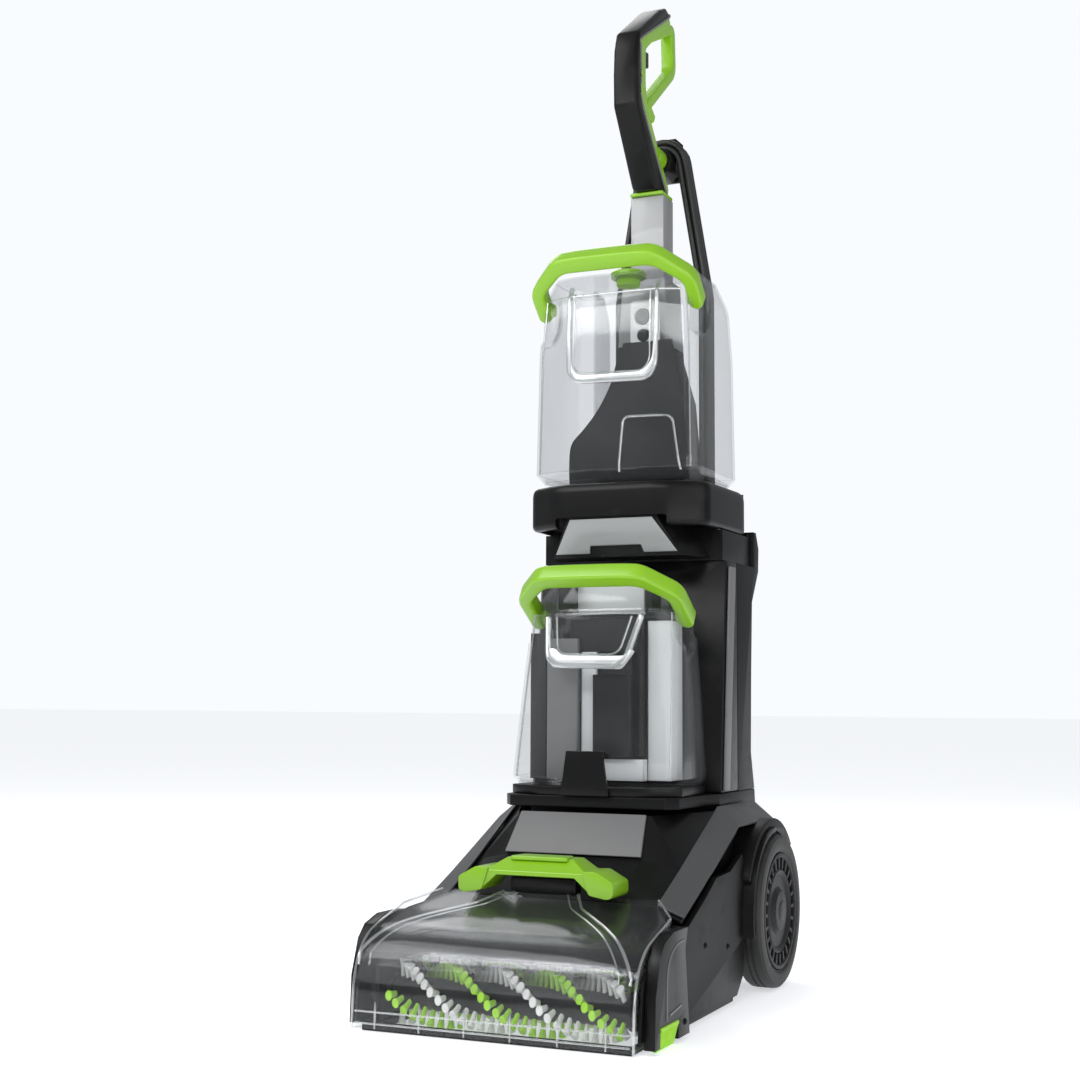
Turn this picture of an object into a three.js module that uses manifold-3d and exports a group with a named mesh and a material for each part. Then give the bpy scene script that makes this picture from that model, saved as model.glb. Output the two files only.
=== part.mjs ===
// Upright carpet cleaner: foot with two brush rolls, reclining upright, lift-off tanks, loop handle.
// Millimetres, +Z up, front towards -Y. The origin is on the floor under the middle of the machine.
import * as THREE from "three";
import { mergeVertices } from "three/addons/utils/BufferGeometryUtils.js";
import Module from "manifold-3d";

// Driving dimensions.
const GAP = 0.4; // clearance between pieces that touch
const WALL = 3; // moulded wall
const FRONT = -246;
const REAR = 246;
const AXLE = { y: 149, z: 80 }; // wheel axle and recline pivot
const WHEEL = { radius: 80, rim: 61, inner: 124.5, outer: 155.5, bore: 5.6 };
const AXLE_RADIUS = 5;
const ARM = { inner: 113.5, outer: 121.5 }; // chassis arms that carry the axle
const DRUM = { radius: 68, half: 110 }; // foot end of the upright, turning between the arms
const FOOT = { half: 133.5, back: -112, tray: 8 };
const CHEEK = { inner: 140, outer: 150, bearing: 147 };
const WINDOW_HALF = 138.5;
const BRUSH = { z: 32, front: -208, rear: -146, tip: 29.5, core: 15, left: -114, right: 127 };
const BELT = { left: -133.4, right: -128.4, pulley: 9, thick: 1.6 };
const BRUSH_MOTOR = { y: -52, z: 60, radius: 27, left: -112, right: -30, pulley: 7 };
const SHELF = { front: -20, bottom: 193, top: 204.5 };
const SPINE = { half: 108, split: 150, top: 452 };
const COLLAR = { bottom: 486, top: 534, underLabel: 497 };
const DIRTY = { bottom: 214, top: 392, lid: 432 };
const CLEAN = { bottom: 538, top: 768, recess: 56, recessFront: 134 };
const TANK_WALL = 2.6;
const STEM = { half: 20, front: 160, rear: 193, bottom: 782, top: 880 };
const GRIP_HALF = 14.5;
const FRAME = { half: 11, loop: 7.5 };
const CORD = { radius: 3.5, pitch: 7.2, y: 219, columns: 3, rows: 2 };
const GLAND = { x: 86, y: 214, low: 300, top: 330 }; // where the lead leaves the rear cover
const HOOK_START = 196; // where the upper hook leaves the handle
// Circles that the wound cord runs round: the upper hook, the spread of the strands and the lower hook.
const WIND = [
  { z: 932, r: 21 },
  { z: 765, r: 48 },
  { z: 394, r: 48 },
];
const RECESS = { half: 74, floor: 207, low: 318, high: 560 }; // hollow in the back for the winding
const HANDLE = {
  dirty: { y: 50, z: 390, angle: 32, reach: 74, bar: 58, half: 92, depth: 15, recess: 36 },
  clean: { y: 74, z: 734, angle: 42, reach: 60, bar: 58, half: 96, depth: 15, recess: 40 },
};

const wasm = await Module();
wasm.setup();

const plastic = (color, roughness = 0.5) => new THREE.MeshStandardMaterial({ color, roughness });
const metal = (color, roughness = 0.3) =>
  new THREE.MeshStandardMaterial({ color, roughness, metalness: 1 });
const clear = (color) =>
  new THREE.MeshStandardMaterial({ color, roughness: 0.08, transparent: true, opacity: 0.35 });
const BLACK = plastic(0x151515, 0.4);
const CHARCOAL = plastic(0x2b2b2c);
const PANEL_GREY = plastic(0x808183);
const TRIM_GREY = plastic(0x4f5052);
const GREEN = plastic(0x86c81a, 0.35);
const BRISTLE = plastic(0x9ad62a, 0.6);
const SILVER = plastic(0xb9babd, 0.35);
const RUBBER = plastic(0x101010, 0.8);
const CLEAR = clear(0xe6e9ea);
const SMOKE = clear(0xb4b8ba);
const STEEL = metal(0xb8b8b8);

// A closed three.js geometry as a solid that can be joined and cut.
function solid(geometry) {
  const bare = geometry.index ? geometry.toNonIndexed() : geometry.clone();
  bare.deleteAttribute("normal");
  bare.deleteAttribute("uv");
  const merged = mergeVertices(bare, 1e-4);
  return new wasm.Manifold(
    new wasm.Mesh({
      numProp: 3,
      vertProperties: merged.attributes.position.array,
      triVerts: new Uint32Array(merged.index.array),
    }),
  );
}

function geometryOf(made) {
  const mesh = made.getMesh();
  return new THREE.BufferGeometry()
    .setAttribute("position", new THREE.BufferAttribute(new Float32Array(mesh.vertProperties), 3))
    .setIndex(new THREE.BufferAttribute(new Uint32Array(mesh.triVerts), 1));
}

const join = (...solids) => solids.reduce((a, b) => a.add(b));
const cut = (body, ...tools) => tools.reduce((a, b) => a.subtract(b), body);

function box(x0, x1, y0, y1, z0, z1) {
  const g = new THREE.BoxGeometry(x1 - x0, y1 - y0, z1 - z0);
  return solid(g.translate((x0 + x1) / 2, (y0 + y1) / 2, (z0 + z1) / 2));
}

const shapeOf = (points) => new THREE.Shape(points.map(([a, b]) => new THREE.Vector2(a, b)));

// Extrusions of an outline along one axis, each from its low to its high value.
const CYCLE = new THREE.Matrix4().makeBasis(
  new THREE.Vector3(0, 1, 0),
  new THREE.Vector3(0, 0, 1),
  new THREE.Vector3(1, 0, 0),
);
const FACE_FRONT = new THREE.Matrix4().makeRotationX(Math.PI / 2);

function extrude(points, low, high, turn, lift) {
  const g = new THREE.ExtrudeGeometry(shapeOf(points), {
    depth: high - low,
    bevelEnabled: false,
    curveSegments: 4,
  });
  if (turn) g.applyMatrix4(turn);
  return solid(g.translate(...lift));
}
const alongX = (yz, x0, x1) => extrude(yz, x0, x1, CYCLE, [x0, 0, 0]);
const alongY = (xz, y0, y1) => extrude(xz, y0, y1, FACE_FRONT, [0, y1, 0]);
const alongZ = (xy, z0, z1) => extrude(xy, z0, z1, null, [0, 0, z0]);
const mirrored = (points) => [...points, ...points.map(([x, v]) => [-x, v]).reverse()];

// Round pieces about an axis through (a, b): X takes (y, z), Y takes (x, z) and Z takes (x, y).
function round(axis, a, b, radius, low, high, sides = 32) {
  const g = new THREE.CylinderGeometry(radius, radius, high - low, sides);
  const mid = (low + high) / 2;
  if (axis === "x") return solid(g.rotateZ(-Math.PI / 2).translate(mid, a, b));
  if (axis === "y") return solid(g.translate(a, mid, b));
  return solid(g.rotateX(Math.PI / 2).translate(a, b, mid));
}

// A turned piece: [radius, distance] pairs about the X axis, closed on itself.
function turned(profile, y, z, sides = 40) {
  const points = [...profile, profile[0]].map(([r, d]) => new THREE.Vector2(r, d));
  return solid(new THREE.LatheGeometry(points, sides).rotateZ(-Math.PI / 2).translate(0, y, z));
}

// A skin through rings of equal length, each ring a flat closed outline; flat caps close both ends.
function loft(rings, flat) {
  const count = rings[0].length;
  const position = rings.flat(2);
  const index = [];
  for (let k = 0; k + 1 < rings.length; k++) {
    for (let i = 0; i < count; i++) {
      const j = (i + 1) % count;
      const [a, b, c, d] = [k * count + i, k * count + j, (k + 1) * count + j, (k + 1) * count + i];
      index.push(a, b, c, a, c, d);
    }
  }
  const outline = rings[0].map((p) => new THREE.Vector2(p[flat[0]], p[flat[1]]));
  const top = (rings.length - 1) * count;
  const sign = Math.sign(THREE.ShapeUtils.area(outline));
  for (const [a, v, w] of THREE.ShapeUtils.triangulateShape(outline, [])) {
    const same = sign * THREE.ShapeUtils.area([outline[a], outline[v], outline[w]]) > 0;
    const [b, c] = same ? [v, w] : [w, v];
    index.push(a, c, b, top + a, top + b, top + c);
  }
  const g = new THREE.BufferGeometry()
    .setAttribute("position", new THREE.Float32BufferAttribute(position, 3))
    .setIndex(index);
  return solid(g);
}
// Rings at heights: [z, [[x, y], ...]], counter-clockwise seen from above.
const stack = (rings) => loft(rings.map(([z, xy]) => xy.map(([x, y]) => [x, y, z])), [0, 1]);
// Rings along the depth: [y, [[x, z], ...]], clockwise seen from the front.
const run = (rings) => loft(rings.map(([y, xz]) => xz.map(([x, z]) => [x, y, z])), [2, 0]);

// A tube along a smooth path, closed at both ends.
function tube(points, radius, sides = 10, steps = 24) {
  const section = new THREE.Shape().absarc(0, 0, radius, 0, 2 * Math.PI);
  const path = new THREE.CatmullRomCurve3(points.map((p) => new THREE.Vector3(...p)));
  const outline = new THREE.Shape(section.getPoints(sides).slice(0, -1));
  return solid(
    new THREE.ExtrudeGeometry(outline, { steps, extrudePath: path, bevelEnabled: false }),
  );
}

// Outline of a band pulled tight round circles {a, b, r}, grown by `extra`, counter-clockwise.
function pulledRound(circles, extra, steps = 36) {
  const points = [];
  for (let i = 0; i < steps; i++) {
    const angle = (i * 2 * Math.PI) / steps;
    const [u, v] = [Math.cos(angle), Math.sin(angle)];
    const reach = circles.map((c) => c.a * u + c.b * v + c.r);
    const far = Math.max(...reach);
    points.push(
      ...circles
        .filter((_, k) => far - reach[k] < 1e-6)
        .sort((c, d) => c.b * u - c.a * v - (d.b * u - d.a * v))
        .map((c) => [c.a + u * (c.r + extra), c.b + v * (c.r + extra)]),
    );
  }
  return points;
}

// A straight bar between two points of an outline plane, `thick` wide.
function strip([a0, b0], [a1, b1], thick) {
  const length = Math.hypot(a1 - a0, b1 - b0);
  const [u, v] = [((a1 - a0) / length) * (thick / 2), ((b1 - b0) / length) * (thick / 2)];
  return [
    [a0 - u + v, b0 - v - u],
    [a1 + u + v, b1 + v - u],
    [a1 + u - v, b1 + v + u],
    [a0 - u - v, b0 - v + u],
  ];
}

const machine = new THREE.Group();
function add(name, made, material, group = machine) {
  const mesh = new THREE.Mesh(geometryOf(made), material);
  mesh.name = name;
  group.add(mesh);
  return mesh;
}
const SIDES = [
  ["left", -1],
  ["right", 1],
];
const flipX = (made, side) => (side < 0 ? made.mirror([1, 0, 0]) : made);

// ---- Foot ----
const foot = new THREE.Group();
machine.add(foot);

const ARM_OUTLINE = [
  [50, 8],
  [120, 22],
  [178, 22],
  [212, 58],
  [212, 150],
  [196, 166],
  [74, 166],
  [50, 140],
];
function chassis() {
  const tray = box(-FOOT.half, FOOT.half, FOOT.back + 2, 62, FOOT.tray, FOOT.tray + 5);
  const wall = box(BELT.right + 1, 130, FOOT.back, FOOT.back + 4, FOOT.tray, 94);
  const guard = box(-122, -118, -230, FOOT.back + 1, FOOT.tray, 56);
  const shaftHoles = [BRUSH.front, BRUSH.rear].map((y) => round("x", y, BRUSH.z, 8, -124, -116, 16));
  const lug = box(-ARM.inner - 1, -DRUM.half - GAP, 196, 219, 22, 64);
  const arms = SIDES.map(([, s]) => {
    const arm = alongX(ARM_OUTLINE, ARM.inner, ARM.outer);
    return flipX(cut(arm, round("x", AXLE.y, AXLE.z, AXLE_RADIUS + 0.3, 110, 125, 24)), s);
  });
  const rear = box(-ARM.outer, ARM.outer, 50, 54, FOOT.tray, 40);
  const pinHole = round("x", 211, 30, 3.4, -116, -104, 16);
  return cut(join(tray, wall, guard, rear, ...arms, lug), ...shaftHoles, pinHole);
}

// Top cover, as sections across the foot: front edge, break, back edge (each y, z) and its depth.
const COVER = [
  { x: FOOT.half, front: [-111, 99], knee: [-56, 121], back: [62, 171], depth: 4.2 },
  { x: 110, front: [-111, 108], knee: [-44, 137], back: [62, 189], depth: WALL },
  { x: 72, front: [-111, 112], knee: [-56, 146], back: [-25, 188], depth: WALL },
];
function topCover() {
  const section = ({ x, front, knee, back, depth }) => {
    const lower = [back, knee, front].map(([y, z]) => [y, z - depth]);
    return [front, knee, back, ...lower].map(([y, z]) => [x, y, z]);
  };
  const right = COVER.map(section);
  const left = right.map((ring) => ring.map(([x, y, z]) => [-x, y, z])).reverse();
  return loft([...right, ...left], [2, 1]);
}

const PANEL = { low: { y: -54, z: 148.6, half: 73 }, high: { y: -25, z: 187.6, half: 68 } };
function frontPanel() {
  const { low, high } = PANEL;
  const ring = ({ y, z, half }, lift) => [
    [-half, y - lift, z + 0.3 * lift],
    [half, y - lift, z + 0.3 * lift],
  ];
  const [a, b] = ring(low, 0.6);
  const [c, d] = ring(high, 0.6);
  const [e, f] = ring(low, 3.4);
  const [g, h] = ring(high, 3.4);
  return loft(
    [
      [e, f, b, a],
      [g, h, d, c],
    ],
    [1, 0],
  );
}

// The dark shoulder strip runs from the cheek up over the wheel, four corners at each station.
const SHOULDER = [
  { y: -110, top: [108.5, 109.5], foot: [134.2, 100] },
  { y: -50, top: [109.5, 136], foot: [134.2, 124] },
  { y: 62, top: [111.5, 190.5], foot: [134.2, 172] },
  { y: 186, top: [112.5, 190.5], foot: [134.2, 172] },
  { y: 206, top: [112.5, 172], foot: [134.2, 162] },
];
const shoulder = () =>
  run(
    SHOULDER.map(({ y, top, foot: low }) => [
      y,
      [
        [top[0], top[1] + 0.6],
        [top[0] + 1, top[1] + 3],
        [low[0] + 2.4, low[1] + 2.4],
        [low[0] + 0.6, low[1]],
      ],
    ]),
  );

const SIDE_OUTLINE = [
  [-134, 8],
  [40, 8],
  [60, 24],
  [80, 120],
  [60, 146],
  [20, 132],
  [-24, 130],
  [-56, 115],
  [-110, 93],
  [-134, 88],
];
const FENDER = { inner: 83.5, outer: 88.5, from: 92, to: 192, edge: 151 };
function footSide() {
  const skin = alongX(SIDE_OUTLINE, FOOT.half + GAP, CHEEK.inner - GAP);
  const room = round("x", AXLE.y, AXLE.z, FENDER.inner, 100, 160, 48);
  const arc = (r, a) => [
    AXLE.y + r * Math.cos((a * Math.PI) / 180),
    AXLE.z + r * Math.sin((a * Math.PI) / 180),
  ];
  const step = (FENDER.to - FENDER.from) / 10;
  const angles = Array.from({ length: 11 }, (_, i) => FENDER.from + step * i);
  const outline = [
    ...angles.map((a) => arc(FENDER.outer, a)),
    ...angles.reverse().map((a) => arc(FENDER.inner, a)),
  ];
  return join(cut(skin, room), alongX(outline, ARM.outer + 0.6, FENDER.edge));
}

const CHEEK_OUTLINE = [
  [-228, 4],
  [-137, 4],
  [-141, 30],
  [-148, 80],
  [-141, 98],
  [-180, 98],
  [-203, 91],
  [-215, 79],
  [-226, 47],
];
const EDGE_BRUSH = { front: -214, back: -168, top: 21, outer: 153.5, inner: 144 };
function cheek() {
  const body = alongX(CHEEK_OUTLINE, CHEEK.inner, CHEEK.outer);
  const { front, back, top, inner } = EDGE_BRUSH;
  const notch = box(inner - GAP, 160, front - GAP, back + GAP, 0, top + GAP);
  const bearing = (y) => round("x", y, BRUSH.z, 5.4, 139, CHEEK.bearing, 16);
  return cut(body, notch, bearing(BRUSH.front), bearing(BRUSH.rear));
}
function edgeBrush() {
  const { front, back, top, outer, inner } = EDGE_BRUSH;
  return alongY(
    [
      [inner, top],
      [inner, 10],
      [inner + 3, 1],
      [outer, 1],
      [inner + 6.5, top],
    ].reverse(),
    front,
    back,
  );
}

function solePlate() {
  const plate = box(-132.5, 132.5, -236, 50, 0, FOOT.tray - GAP);
  return cut(plate, box(-117, 129.5, -231, -116, -1, 10));
}

function sprayBar() {
  const bar = box(-100, 100, -107.4, -101, 98, 106);
  return join(bar, ...[-84, -48, 48, 84].map((x) => round("z", x, -104, 4, 84, 99, 12)));
}

function suctionDuct() {
  const outer = [
    [-107, 62],
    [-107, 92],
    [-56, 122],
    [16, 150],
    [40, 118],
    [-30, 92],
  ];
  const inner = [
    [-107.5, 65],
    [-107.5, 89],
    [-55, 119],
    [15, 146],
    [36.5, 118],
    [-31, 95],
  ];
  const mouth = alongX(
    [
      [10, 160],
      [48, 116],
      [36, 112],
      [8, 140],
    ],
    -23,
    23,
  );
  const front = box(-23, 23, -110, -105, 65, 89);
  return cut(alongX(outer, -26, 26), alongX(inner, -23, 23), mouth, front);
}

add("foot_chassis", chassis(), BLACK, foot);
add("foot_top_cover", topCover(), BLACK, foot);
add("front_panel", frontPanel(), PANEL_GREY, foot);
add("sole_plate", solePlate(), CHARCOAL, foot);
add("spray_bar", sprayBar(), CHARCOAL, foot);
add("suction_duct", suctionDuct(), CHARCOAL, foot);
for (const [side, s] of SIDES) {
  add("shoulder_trim_" + side, flipX(shoulder(), s), TRIM_GREY, foot);
  add("foot_side_" + side, flipX(footSide(), s), BLACK, foot);
  add("nozzle_cheek_" + side, flipX(cheek(), s), BLACK, foot);
  add("edge_brush_" + side, flipX(edgeBrush(), s), BRISTLE, foot);
}
add("wheel_axle", round("x", AXLE.y, AXLE.z, AXLE_RADIUS, -151, 151, 20), STEEL, foot);

// Brush rolls: a core with two helical fins of bristle, end shafts and a belt pulley on the left.
function brushRoll(phase) {
  const { left, right, core, tip } = BRUSH;
  const section = new THREE.Shape();
  const corners = 12;
  for (let i = 0; i < corners; i++) {
    const angle = (i * 2 * Math.PI) / corners;
    const r = i % (corners / 2) === 0 ? tip : core;
    section[i ? "lineTo" : "moveTo"](r * Math.cos(angle), r * Math.sin(angle));
  }
  const length = right - left;
  const g = new THREE.ExtrudeGeometry(section, { depth: length, steps: 14, bevelEnabled: false });
  const p = g.attributes.position;
  for (let i = 0; i < p.count; i++) {
    const twist = phase + (p.getZ(i) / length) * 2 * Math.PI;
    const [x, y] = [p.getX(i), p.getY(i)];
    p.setXY(
      i,
      x * Math.cos(twist) - y * Math.sin(twist),
      x * Math.sin(twist) + y * Math.cos(twist),
    );
  }
  const roll = solid(g.rotateY(Math.PI / 2).translate(left, 0, 0));
  const shaft = round("x", 0, 0, 5, BELT.left - 5, CHEEK.bearing - 1, 14);
  return join(roll, shaft, round("x", 0, 0, BELT.pulley, BELT.left, BELT.right, 24));
}
for (const [name, y, phase] of [
  ["front_brush_roll", BRUSH.front, 0],
  ["rear_brush_roll", BRUSH.rear, Math.PI / 2],
]) {
  const group = new THREE.Group();
  group.position.set(0, y, BRUSH.z);
  foot.add(group);
  add(name, brushRoll(phase), RUBBER, group);
}

function brushMotor() {
  const { y, z, radius, left, right } = BRUSH_MOTOR;
  const feet = box(left + 8, right - 8, y - 20, y + 20, FOOT.tray + 5 + GAP, z - 10);
  const can = round("x", y, z, radius, left, right, 28);
  const shaftHole = round("x", y, z, 4, -120, left + 20, 12);
  return cut(join(can, feet), shaftHole);
}
function motorPulley() {
  const { y, z, pulley, left } = BRUSH_MOTOR;
  return join(
    round("x", y, z, pulley, BELT.left, BELT.right, 20),
    round("x", y, z, 3, BELT.right - 1, left + 12, 12),
  );
}
function driveBelt() {
  const wheels = [
    { a: BRUSH.front, b: BRUSH.z, r: BELT.pulley },
    { a: BRUSH.rear, b: BRUSH.z, r: BELT.pulley },
    { a: BRUSH_MOTOR.y, b: BRUSH_MOTOR.z, r: BRUSH_MOTOR.pulley },
  ];
  const outer = alongX(pulledRound(wheels, GAP + BELT.thick), BELT.left, BELT.right);
  return cut(outer, alongX(pulledRound(wheels, GAP), BELT.left - 1, BELT.right + 1));
}
add("brush_motor", brushMotor(), STEEL, foot);
add("motor_pulley", motorPulley(), STEEL, foot);
add("drive_belt", driveBelt(), RUBBER, foot);

// Wheels: a tyre on a dished rim, turning on the axle.
const TYRE_PROFILE = [
  [WHEEL.rim + GAP, WHEEL.inner + 2],
  [WHEEL.radius - 5, WHEEL.inner],
  [WHEEL.radius, WHEEL.inner + 5],
  [WHEEL.radius, WHEEL.outer - 7],
  [WHEEL.radius - 6, WHEEL.outer],
  [WHEEL.rim + 3, WHEEL.outer],
  [WHEEL.rim + GAP, WHEEL.outer - 2],
];
const RIM_PROFILE = [
  [WHEEL.bore, WHEEL.inner],
  [14, WHEEL.inner],
  [14, 140],
  [WHEEL.rim - 5, 140],
  [WHEEL.rim - 3, WHEEL.inner + 3],
  [WHEEL.rim, WHEEL.inner + 3],
  [WHEEL.rim, WHEEL.outer - 1],
  [WHEEL.rim - 6, WHEEL.outer],
  [WHEEL.rim - 10, 150],
  [26, 150],
  [20, WHEEL.outer],
  [WHEEL.bore, WHEEL.outer],
];
for (const [side, s] of SIDES) {
  const wheel = new THREE.Group();
  wheel.position.set(0, AXLE.y, AXLE.z);
  machine.add(wheel);
  add("tyre_" + side, flipX(turned(TYRE_PROFILE, 0, 0, 40), s), RUBBER, wheel);
  add("wheel_rim_" + side, flipX(turned(RIM_PROFILE, 0, 0, 28), s), CHARCOAL, wheel);
}

// Pedal at the rear left that frees the upright.
function reclinePedal() {
  const plate = alongX(
    [
      [206, 28],
      [214, 25],
      [REAR, 31],
      [REAR, 36],
      [222, 40],
      [206, 36],
    ],
    -104,
    -58,
  );
  return join(plate, round("x", 211, 30, 3, -ARM.inner + 0.5, -103, 14));
}
add("recline_pedal", reclinePedal(), BLACK);

// ---- Nozzle: clear hood with a raised suction channel, and its latch ----
const HOOD = [
  [FRONT, 3],
  [FRONT + 1, 17],
  [-243, 44],
  [-236, 66],
  [-222, 82],
  [-202, 92],
  [-160, 103],
  [-114.5, 117],
];
function hoodOffset(depth) {
  return HOOD.map(([y, z], i) => {
    const before = HOOD[Math.max(i - 1, 0)];
    const after = HOOD[Math.min(i + 1, HOOD.length - 1)];
    const length = Math.hypot(after[0] - before[0], after[1] - before[1]);
    const normal = [-(after[1] - before[1]) / length, (after[0] - before[0]) / length];
    return [y - normal[0] * depth, z - normal[1] * depth];
  });
}
// The hood's corners are trimmed back towards the latch.
const HOOD_PLAN = [
  [-WINDOW_HALF, FRONT - 12],
  [WINDOW_HALF, FRONT - 12],
  [WINDOW_HALF, -150],
  [112, -112],
  [-112, -112],
  [-WINDOW_HALF, -150],
];
function nozzleWindow() {
  const outline = [...HOOD, ...hoodOffset(WALL).reverse()];
  const skin = alongX(outline.reverse(), -WINDOW_HALF, WINDOW_HALF);
  return skin.intersect(alongZ(HOOD_PLAN, -5, 140));
}
// The channel fans out from the neck under the latch to the front lip.
const CHANNEL = { front: 134, neck: 38, lift: 9, wall: 2.4 };
function nozzleChannel() {
  const plan = (inset) => [
    [-CHANNEL.front + inset, FRONT + 4 - 12],
    [CHANNEL.front - inset, FRONT + 4 - 12],
    [CHANNEL.front - inset, -236],
    [CHANNEL.neck + 16 - inset, -158],
    [CHANNEL.neck - inset, -128],
    [-CHANNEL.neck + inset, -128],
    [-CHANNEL.neck - 16 + inset, -158],
    [-CHANNEL.front + inset, -236],
  ];
  const layer = (from, to, half) =>
    alongX([...hoodOffset(-to), ...hoodOffset(-from).reverse()].reverse(), -half, half);
  const upper = box(-150, 150, FRONT, -100, 46, 140);
  const lower = box(-150, 150, FRONT + 2.4, -100, 50, 140);
  const body = layer(0.5, CHANNEL.lift, 136).intersect(alongZ(plan(0), 0, 140)).intersect(upper);
  const hollow = layer(-1, CHANNEL.lift - CHANNEL.wall, 137).intersect(
    alongZ(plan(CHANNEL.wall), 0, 140),
  );
  return cut(body, hollow.intersect(lower));
}
function nozzleLatch() {
  const wings = mirrored([
    [0, 152],
    [34, 152],
    [48, 143],
    [62, 141],
    [78, 132],
    [74, 122],
    [56, 122],
    [40, 136],
    [0, 136],
  ]);
  const lever = alongY(wings.reverse(), -146, -106);
  const slope = alongX(
    [
      [-150, 110],
      [-104, 110],
      [-104, 160],
      [-124, 160],
      [-146, 140],
    ],
    -90,
    90,
  );
  return lever.intersect(slope);
}
const nozzle = new THREE.Group();
machine.add(nozzle);
add("nozzle_window", nozzleWindow(), CLEAR, nozzle);
add("suction_channel", nozzleChannel(), CLEAR, nozzle);
add("nozzle_latch", nozzleLatch(), GREEN, nozzle);

// ---- Upright ----
const upright = new THREE.Group();
machine.add(upright);

// Drum that turns between the arms, with the shelf that the dirty tank stands on.
const HOUSING = [
  [SHELF.front, SHELF.bottom],
  [84, SHELF.bottom],
  [84, 110],
  [149, 60],
  [206, 110],
  [214, 190],
  [212, SHELF.top],
  [SHELF.front, SHELF.top],
];
const SHELF_PLAN = mirrored([
  [0, SHELF.front - 1],
  [84, SHELF.front - 1],
  [95, -6],
  [100, 60],
  [SPINE.half, 84],
  [SPINE.half, 230],
  [0, 230],
]);
function lowerHousing() {
  const body = alongX(HOUSING, -SPINE.half, SPINE.half).intersect(alongZ(SHELF_PLAN, 0, 300));
  const drum = round("x", AXLE.y, AXLE.z, DRUM.radius, -DRUM.half, DRUM.half, 40);
  const room = box(-SPINE.half + 6, SPINE.half - 6, 98, 204, 96, SHELF.top + 5);
  const bore = round("x", AXLE.y, AXLE.z, AXLE_RADIUS + 1, -120, 120, 20);
  return cut(join(body, drum), room, bore);
}

// Side outline of the column behind the dirty tank, split into a front shell and a rear cover.
const COLUMN_FRONT = [
  [92, SHELF.top + GAP],
  [100, 300],
  [113, SPINE.top],
];
const COLUMN_REAR = [
  [224, 492],
  [234, 474],
  [232, 448],
  [207, 412],
  [202, 330],
  [199, 245],
  [211, SHELF.top + GAP],
];
function spineShell() {
  const { half, split, top } = SPINE;
  const outline = [[split, SHELF.top + GAP], [split, top], ...COLUMN_FRONT.toReversed()];
  const outer = alongX(outline, -half, half);
  const inner = alongX(
    [
      [split + 1, SHELF.top + 3],
      [split + 1, top - WALL],
      [116.5, top - WALL],
      [103.5, 300],
      [96, SHELF.top + 3],
    ],
    -half + WALL,
    half - WALL,
  );
  return cut(outer, inner, box(-26, 26, 90, 120, 405, 430));
}
function rearCover() {
  const { half, split, top } = SPINE;
  const start = split + GAP;
  const outline = [[start, top], [214, top], [214, 492], ...COLUMN_REAR, [start, SHELF.top + GAP]];
  const outer = alongX(outline.reverse(), -half, half);
  const inner = alongX(
    [
      [start - 1, SHELF.top + 3],
      [206, SHELF.top + 3],
      [194, 245],
      [197, 330],
      [201, 412],
      [206, top - WALL],
      [start - 1, top - WALL],
    ],
    -half + WALL,
    half - WALL,
  );
  const recess = box(-RECESS.half, RECESS.half, RECESS.floor, 260, RECESS.low, RECESS.high);
  const slots = [0, 1, 2, 3, 4].map((i) => box(-40, 40, 190, 215, 222 + i * 12, 227 + i * 12));
  const { x, y, low: z } = GLAND;
  const boss = box(x - 10, x + 10, 198, y + 10, z - 24, z);
  return join(cut(outer, inner, recess, ...slots), boss);
}
function accentStrip() {
  return alongX(
    [
      [95, 207],
      [112, 207],
      [137, 446],
      [117, 446],
    ],
    SPINE.half + 0.3,
    SPINE.half + 3.2,
  );
}
add("lower_housing", lowerHousing(), BLACK, upright);
add("spine_shell", spineShell(), BLACK, upright);
add("rear_cover", rearCover(), BLACK, upright);
for (const [side, s] of SIDES) {
  add("accent_strip_" + side, flipX(accentStrip(), s), PANEL_GREY, upright);
}

// Inside the column: suction motor with its fan above, the pump and the riser from the foot.
const MOTOR = { x: 40, y: 154, radius: 38, bottom: 216, top: 306 };
function suctionMotor() {
  const { x, y, radius, bottom, top } = MOTOR;
  const can = join(
    round("z", x, y, radius, bottom, top - 14, 28),
    round("z", x, y, radius - 12, top - 15, top, 20),
  );
  return cut(can, round("z", x, y, 5, top - 30, top + 2, 12));
}
function motorFan() {
  const { x, y, radius, top } = MOTOR;
  const disc = round("z", x, y, radius + 2, top + 6, top + 20, 28);
  const eye = round("z", x, y, 16, top + 10, top + 22, 20);
  return join(cut(disc, eye), round("z", x, y, 4.4, top - 26, top + 11, 12));
}
function waterPump() {
  const body = box(-92, -40, 130, 182, 226, 264);
  const outlet = round("z", -66, 156, 7, 261, 290, 14);
  return join(body, round("z", -66, 156, 20, 209, 227, 20), outlet);
}
function riserDuct() {
  const outer = box(-24, 24, 119, 147, 330, 446);
  return cut(outer, box(-21, 21, 122, 144, 326, 442), box(-21, 21, 115, 125, 408, 428));
}
add("suction_motor", suctionMotor(), STEEL, upright);
add("motor_fan", motorFan(), CHARCOAL, upright);
add("water_pump", waterPump(), CHARCOAL, upright);
add("riser_duct", riserDuct(), CHARCOAL, upright);

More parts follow.
